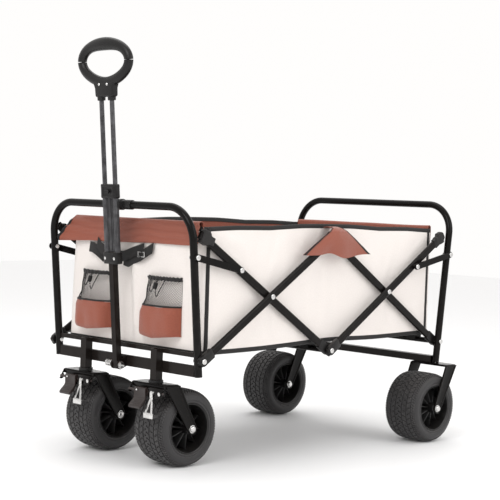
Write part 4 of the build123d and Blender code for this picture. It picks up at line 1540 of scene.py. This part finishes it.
cloth.settings.compression_stiffness = 25
cloth.settings.bending_stiffness = 1.0
cloth.settings.use_pressure = True
cloth.settings.uniform_pressure_force = 1.0
cloth.settings.effector_weights.gravity = 0.0
cloth.point_cache.frame_start = 1
cloth.point_cache.frame_end = 16
rest = [point.co.copy() for point in mat.data.vertices]
for frame_number in range(1, 17):
    scene.frame_set(frame_number)
bpy.ops.object.modifier_apply(modifier=cloth.name)
scene.frame_set(1)
for point, before in zip(mat.data.vertices, rest):
    moved = point.co - before
    if moved.length > 0.004:
        point.co = before + moved * (0.004 / moved.length)
mat = finished("quilted_mat", [mat], dark_cloth, "front_frame", "dark_canvas", "floor_mat", angle=60)
shorten(mat)

# ---- Front and rear cuffs ----
# A wide terracotta band is folded over the top of each end wall and stitched down. It
# is slightly puckered, and the front one flares past the hoop at its left end.


def fold_outline(reach, top, bottom, outside, inside, steps):
    """Rows of a band folded over an edge: (offset outwards, height), outside first."""
    rows = []
    for index in range(steps + 1):
        share = index / steps
        rows.append((outside + reach * sin(pi * share) * 0.6, bottom + (top - 0.006 - bottom) * share))
    for index in range(1, 7):
        turn = pi * index / 7
        middle = (outside + inside) / 2
        radius = (outside - inside) / 2
        rows.append((middle + radius * cos(turn), top - 0.006 + 0.006 * sin(turn)))
    for index in range(steps // 2 + 1):
        share = index / (steps // 2)
        rows.append((inside, top - 0.006 - (top - 0.020 - bottom) * share))
    return rows


front_rows = fold_outline(0.0025, 0.5660, 0.5100, 0.0062, -0.0060, 12)
front_cuff_half = 0.2360


def front_cuff_point(u, v):
    """A point on the front cuff."""
    place, z = front_rows[min(len(front_rows) - 1, int(v * (len(front_rows) - 1) + 0.5))]
    y = front_cuff_half * (2 * u - 1)
    outer = 1.0 if place > 0 else 0.0
    pucker = 0.0014 * ripple(y * 14.0, z * 30.0, 5.0) * outer
    wavy = z + 0.0030 * sin(y * 21.0) + 0.0014 * sin(y * 47.0 + 1.0)
    band = 0.0019 * sin(2 * pi * (wavy - 0.510) / 0.0175) * outer
    flare = max(0.0, (y - 0.110) / 0.126) ** 2 * clamp((0.566 - z) / 0.050)
    y -= max(0.0, y / front_cuff_half) ** 3 * 0.0300 * clamp((z - 0.505) / 0.060)
    drop = -0.0040 * (y / front_cuff_half) * outer * max(0.0, (0.54 - z) / 0.03)
    hem = 0.0030 * ripple(y * 7.0, 0.0, 8.0) * max(0.0, (0.53 - z) / 0.02) * outer
    fullness = 0.0030 * max(0.0, (0.545 - z) / 0.035) * outer
    x = bag_front - place - pucker - band - 0.0230 * flare - fullness
    return Vector((x, y + 0.0140 * flare, z + drop + hem - 0.0020 * flare))


cuff = cloth_grid(150, len(front_rows) - 1, front_cuff_point)
fit_uvs(cuff, 2 * front_cuff_half, 0.112)
outward(cuff, (0, 0, 1))
cuff = finished(
    "cuff_front", [thicken(cuff, 0.0014)], brown_cloth, "front_frame", "brown_canvas", "front_cuff",
    angle=80,
)
piping = cloth_grid(
    6, 24, lambda u, v: front_cuff_point(0.982 + 0.020 * u, 0.42 * v) + Vector((-0.0016, 0, 0)),
)
fit_uvs(piping, 0.01, 0.056)
thicken(piping, 0.0012, 0.0)
finished("cuff_piping", [piping], black_tape, "front_frame", "dark_canvas", angle=80, mend=True)

rear_rows = fold_outline(0.0020, 0.5635, 0.5080, 0.0072, -0.0050, 10)
rear_cuff_half = 0.2345


def rear_cuff_point(u, v):
    """A point on the rear cuff."""
    place, z = rear_rows[min(len(rear_rows) - 1, int(v * (len(rear_rows) - 1) + 0.5))]
    y = rear_cuff_half * (2 * u - 1)
    outer = 1.0 if place > 0 else 0.0
    pucker = 0.0016 * ripple(y * 13.0, z * 28.0, 15.0)
    hem = 0.0030 * ripple(y * 6.0, 0.0, 18.0) * max(0.0, (0.53 - z) / 0.02) * outer
    rise = 0.0030 * ripple(y * 5.0, 3.0, 1.0)
    return Vector((bag_rear + 0.0028 + place + pucker, y, z + hem + rise))


cuff = cloth_grid(130, len(rear_rows) - 1, rear_cuff_point)
fit_uvs(cuff, 2 * rear_cuff_half, 0.112)
outward(cuff, (0, 0, 1))
cuff = finished(
    "cuff_rear", [thicken(cuff, 0.0014)], brown_cloth, "rear_frame", "brown_canvas", "rear_cuff", angle=80,
)

# ---- Apex flaps ----
# A terracotta triangle drapes over the joint at the top of each side's arms. Its
# slanted edges are piped and its lower edge sags to the right of the middle.

flap_half = 0.1230
flap_top_z = 0.5570
flap_out_y = 0.2790
flap_in_y = 0.2425


def flap_point(u, v, grow=0.0):
    """A point on the flap: v runs from its root on the bag over the top and down."""
    root = 0.16
    if v < root:
        share = v / root
        y = flap_in_y + (flap_out_y - 0.006 - flap_in_y) * share
        z = flap_top_z + 0.0022 * sin(pi * share)
        half = 0.0130 + 0.0030 * share
        x = middle_x - 0.0020 + (2 * u - 1) * half
        return Vector((x, y, z + grow))
    share = (v - root) / (1 - root)
    half = 0.0160 + (flap_half - 0.0160) * share ** 0.93
    across = 2 * u - 1
    belly = 0.0090 * sin(pi * min(1.0, share * 0.9 + 0.12)) * (1 - across ** 2)
    sag = 0.0080 * hill((across - 0.22) / 0.26) + 0.0020 * (1 - across ** 2)
    lift = 0.0060 * hill((across + 0.20) / 0.22)
    length = 0.0650 + sag - lift
    fold = 0.0020 * sin(across * 7.0 + 1.0) * share ** 2
    turn_in = 0.0025 * max(0.0, abs(across) - 0.55) / 0.45 * share
    y = flap_out_y - 0.006 * max(0.0, 1 - share * 8) + belly + fold - turn_in + grow
    z = flap_top_z - length * share + 0.0015 * ripple(u * 6, v * 5, 7.0)
    return Vector((middle_x + across * half, y, z))


for side in (1, -1):
    flap = cloth_grid(64, 44, flap_point)
    fit_uvs(flap, 2 * flap_half, 0.11)
    outward(flap, (0, 1, 0))
    thicken(flap, 0.0013)
    edging = []
    for low, high in ((0.0, 0.035), (0.965, 1.0)):
        strip = cloth_grid(3, 40, lambda u, v: flap_point(low + (high - low) * u, 0.14 + 0.86 * v, 0.0008))
        fit_uvs(strip, 0.006, 0.1)
        edging.append(thicken(strip, 0.0010, 0.0))
    if side < 0:
        mirrored(flap, *edging)
    name = "left" if side > 0 else "right"
    flap = finished("flap_" + name, [flap], brown_cloth, "apex", "brown_canvas", angle=80)
    edging = finished(
        "flap_piping_" + name, edging, black_tape, "apex", "dark_canvas", angle=80, mend=True,
    )
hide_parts("apex_flaps")
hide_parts("apex_flaps")

# ---- Arm end pockets ----
# Small black fabric pockets sewn to the bag's corners slip over the free upper ends of
# the arms at the front and at the back.

for name, body, x, y, turn, sizes in (
    ("arm_pocket_front", "front_upper_arms", -0.3990, 0.254, 1,
     ((0.024, 0.0135, 0.022), (0.040, 0.0145, 0.032))),
    ("arm_pocket_rear", "rear_upper_arms", 0.4541, 0.265, -1,
     ((0.030, 0.0135, 0.030), (0.030, 0.0135, 0.030))),
):
    parts = []
    for side, size in zip((1, -1), sizes):
        pocket = box(size)
        edit(pocket)
        whole()
        bpy.ops.mesh.subdivide(number_cuts=5)
        pick_points(pocket, lambda point: point.x * turn > 0)
        bpy.ops.transform.resize(value=(1, 0.92, 0.62), center_override=(0, 0, 0))
        close_edit()
        bevel(pocket, 0.0030, 3, 50)
        for point in pocket.data.vertices:
            point.co += point.normal * 0.0007 * noise.noise(point.co * 60.0)
        pocket.data.transform(
            shift(x + turn * 0.0100, side * y, 0.5290) @ rotation(24 * turn, "Y")
        )
        select(pocket)
        bpy.ops.object.mode_set(mode="EDIT")
        whole()
        bpy.ops.uv.cube_project(cube_size=1.0)
        bpy.ops.object.mode_set(mode="OBJECT")
        parts.append(pocket)
    finished(name, parts, black_tape, body, "dark_canvas", angle=50)

# ---- Net pockets ----
# Two drinks pockets hang on the front wall: a gathered black net over a terracotta
# boxed foot, with an elastic hem, a drawcord and a small black toggle.

net_material, tree, shader = new_material("black_net", Roughness=0.7, Specular_IOR_Level=0.2)
strand = shade(tree, "TexNoise", Vector=shade(tree, "TexCoord")["Object"], Scale=600.0)
shades = shade(tree, "MixRGB", strand["Fac"], (0.006, 0.006, 0.006, 1), (0.022, 0.021, 0.021, 1))
fill(tree, shader, Base_Color=shades["Color"])
pocket_half = 0.0675
wall_face = bag_front - 0.0035


def pocket_point(centre, u, z, lift=0.0):
    """A point on a pocket's bulging front, from its left side to its right."""
    share = clamp((z - 0.304) / 0.128)
    fullness = 0.0235 + 0.0035 * sin(pi * share) - 0.0085 * max(0.0, share - 0.80) / 0.20
    boxed = clamp((0.385 - z) / 0.030)
    fullness += 0.0060 * boxed
    foot = max(0.0, (0.316 - z) / 0.014)
    fullness -= 0.0060 * min(1.0, foot) ** 2
    across = 2 * u - 1
    bulge = (1 - abs(across) ** (2.6 + 4.0 * boxed)) * fullness
    bulge += 0.0018 * ripple(centre * 5 + u * 5.0, z * 22.0, 4.0)
    bulge += 0.0016 * max(0.0, share - 0.55) * sin(across * 26.0)
    narrow = 0.0170 * share * max(0.0, across)
    x = wall_face - max(0.0015, bulge) - lift
    return Vector((x, centre + pocket_half * across - narrow, z))


for side, centre in (("left", 0.1180), ("right", -0.1180)):
    z_top = 0.4330
    z_line = 0.3660 if side == "left" else 0.3700
    bpy.ops.mesh.primitive_grid_add(x_subdivisions=50, y_subdivisions=50, size=0.2)
    net = bpy.context.object
    apply_place(net, rotation(45, "Z"))
    edit(net)
    width = 0.150
    height = z_top - z_line
    for limit, normal in ((width / 2, (1, 0, 0)), (width / 2, (-1, 0, 0)), (height / 2, (0, 1, 0)),
                          (height / 2, (0, -1, 0))):
        whole()
        bpy.ops.mesh.bisect(plane_co=Vector(normal) * limit, plane_no=normal, clear_outer=True)
    close_edit()
    for point in net.data.vertices:
        u = min(1.0, max(0.0, point.co.x / width + 0.5))
        point.co = pocket_point(centre, u, z_line + height / 2 + point.co.y)
    apply_modifier(net, "WIREFRAME", thickness=0.00075, use_boundary=True, use_even_offset=False)
    net = joined("net_" + side, [net], net_material)
    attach(net, "front_frame")

    foot_low = 0.3040

    def foot_point(u, v):
        z = foot_low + (z_line - foot_low) * v
        wave = 0.0022 * sin(u * 9.0 + centre * 40) * v
        dip = 0.0080 * (1 - v) * max(0.0, 1 - abs(2 * u - 1.1))
        return pocket_point(centre, u, z + wave, 0.0006) - Vector((0, 0, dip))

    foot = cloth_grid(60, 26, foot_point)
    sole = cloth_grid(60, 6, lambda u, v: Vector((
        wall_face + (foot_point(u, 0).x - wall_face) * v, foot_point(u, 0).y,
        foot_low + (foot_point(u, 0).z - foot_low) * v
    )))
    for cloth in (foot, sole):
        fit_uvs(cloth, 0.15, 0.07)
    outward(foot, (-1, 0, 0))
    outward(sole, (0, 0, -1))
    parts = [thicken(foot, 0.0013), thicken(sole, 0.0013)]
    foot = finished("pocket_foot_" + side, parts, brown_cloth, "front_frame", "brown_canvas", angle=60)
    strips = []
    for z, tall in ((z_top, 0.0090), (z_line + 0.001, 0.0035)):
        gather = 0.0010 if tall > 0.005 else 0

        def hem_point(u, v):
            return pocket_point(
                centre, u, z + tall * (v - 0.5) + gather * sin(u * 90), 0.0012 * sin(pi * v) + 0.0006
            )

        strip = cloth_grid(90, 5, hem_point)
        fit_uvs(strip, 0.15, tall)
        strips.append(thicken(strip, 0.0012, 0.0))
    hems = finished(
        "pocket_hems_" + side, strips, black_tape, "front_frame", "dark_canvas", angle=80, mend=True,
    )

    parts = []
    for loop, (start, dip) in enumerate(((-0.012, 0.036), (0.010, 0.028))):
        points = []
        for index in range(25):
            share = index / 24
            y = centre + start + 0.022 * (share - 0.5) * (1 if loop else -1)
            z = z_top - 0.004 - dip * sin(pi * share)
            u = (y - centre) / (2 * pocket_half) + 0.5
            x = pocket_point(centre, u, z).x - 0.0022 - 0.001 * sin(pi * share)
            points.append((x, y, z))
        parts.append(wire(points, 0.0011, 2))
    bpy.ops.mesh.primitive_cylinder_add(vertices=20, radius=0.0052, depth=0.0150)
    toggle = bpy.context.object
    bevel(toggle, 0.0020, 3)
    z = z_top - 0.0160
    toggle.data.transform(
        shift(pocket_point(centre, 0.46, z).x - 0.0062, centre - 0.004, z)
        @ rotation(20, "X")
    )
    parts.append(toggle)
    finished("drawcord_" + side, parts, moulded_black, "front_frame", "black_plastic", angle=60)
    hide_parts("pocket_nets")
    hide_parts("pocket_boxes")

# ---- Carry strap ----
# A loop of black webbing lies on the front wall behind the handle, with its free end
# hanging in soft waves, held by a bright buckle.

webbing = [
    ((0.1420, 0.4930), (0.1260, 0.4920), (0.1120, 0.4870), (0.1000, 0.4800), (0.0860, 0.4700)),
    ((0.0120, 0.4680), (-0.0100, 0.4640), (-0.0300, 0.4730), (-0.0520, 0.4800), (-0.0700, 0.4900),
     (-0.0900, 0.5010)),
    ((0.1100, 0.5060), (0.0900, 0.4900), (0.0500, 0.4780), (0.0100, 0.4760), (-0.0250, 0.4880),
     (-0.0600, 0.4990)),
]
strips = []
for number, run in enumerate(webbing):
    def strap_point(u, v):
        at = u * (len(run) - 1)
        index = min(len(run) - 2, int(at))
        share = at - index
        (y0, z0), (y1, z1) = run[index], run[index + 1]
        y = y0 + (y1 - y0) * share
        z = z0 + (z1 - z0) * share
        x = wall_face - 0.0075 - 0.0040 * sin(pi * u) - 0.0016 * number
        return Vector((x + 0.0040 * (v - 0.5), y, z + 0.0270 * (v - 0.5)))

    strip = cloth_grid(36, 5, strap_point)
    fit_uvs(strip, 0.07, 0.02)
    thicken(strip, 0.0014, 0.0)
    apply_modifier(strip, "SMOOTH", factor=0.5, iterations=3)
    strips.append(strip)
finished("carry_strap", strips, black_tape, "front_frame", "dark_canvas", angle=60, mend=True)
bpy.ops.mesh.primitive_plane_add(size=1.0)
buckle = bpy.context.object
buckle.scale = (0.0130, 0.0240, 1)
apply_place(buckle)
open_frame(buckle, 0.0020, 0.0026, 0.0006)
buckle.data.transform(
    shift(wall_face - 0.0150, -0.0560, 0.4840) @ rotation(90, "Y")
)
finished("strap_buckle", [buckle], zinc, "front_frame", "zinc_steel")

# ---- The two boxes, and the end ----
# The imported model's box and the finished model's box are gathered side by side.

visual_lo, visual_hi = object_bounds()
sizes = {"cad": [list(cad_lo), list(cad_hi)], "visual": [list(visual_lo), list(visual_hi)]}
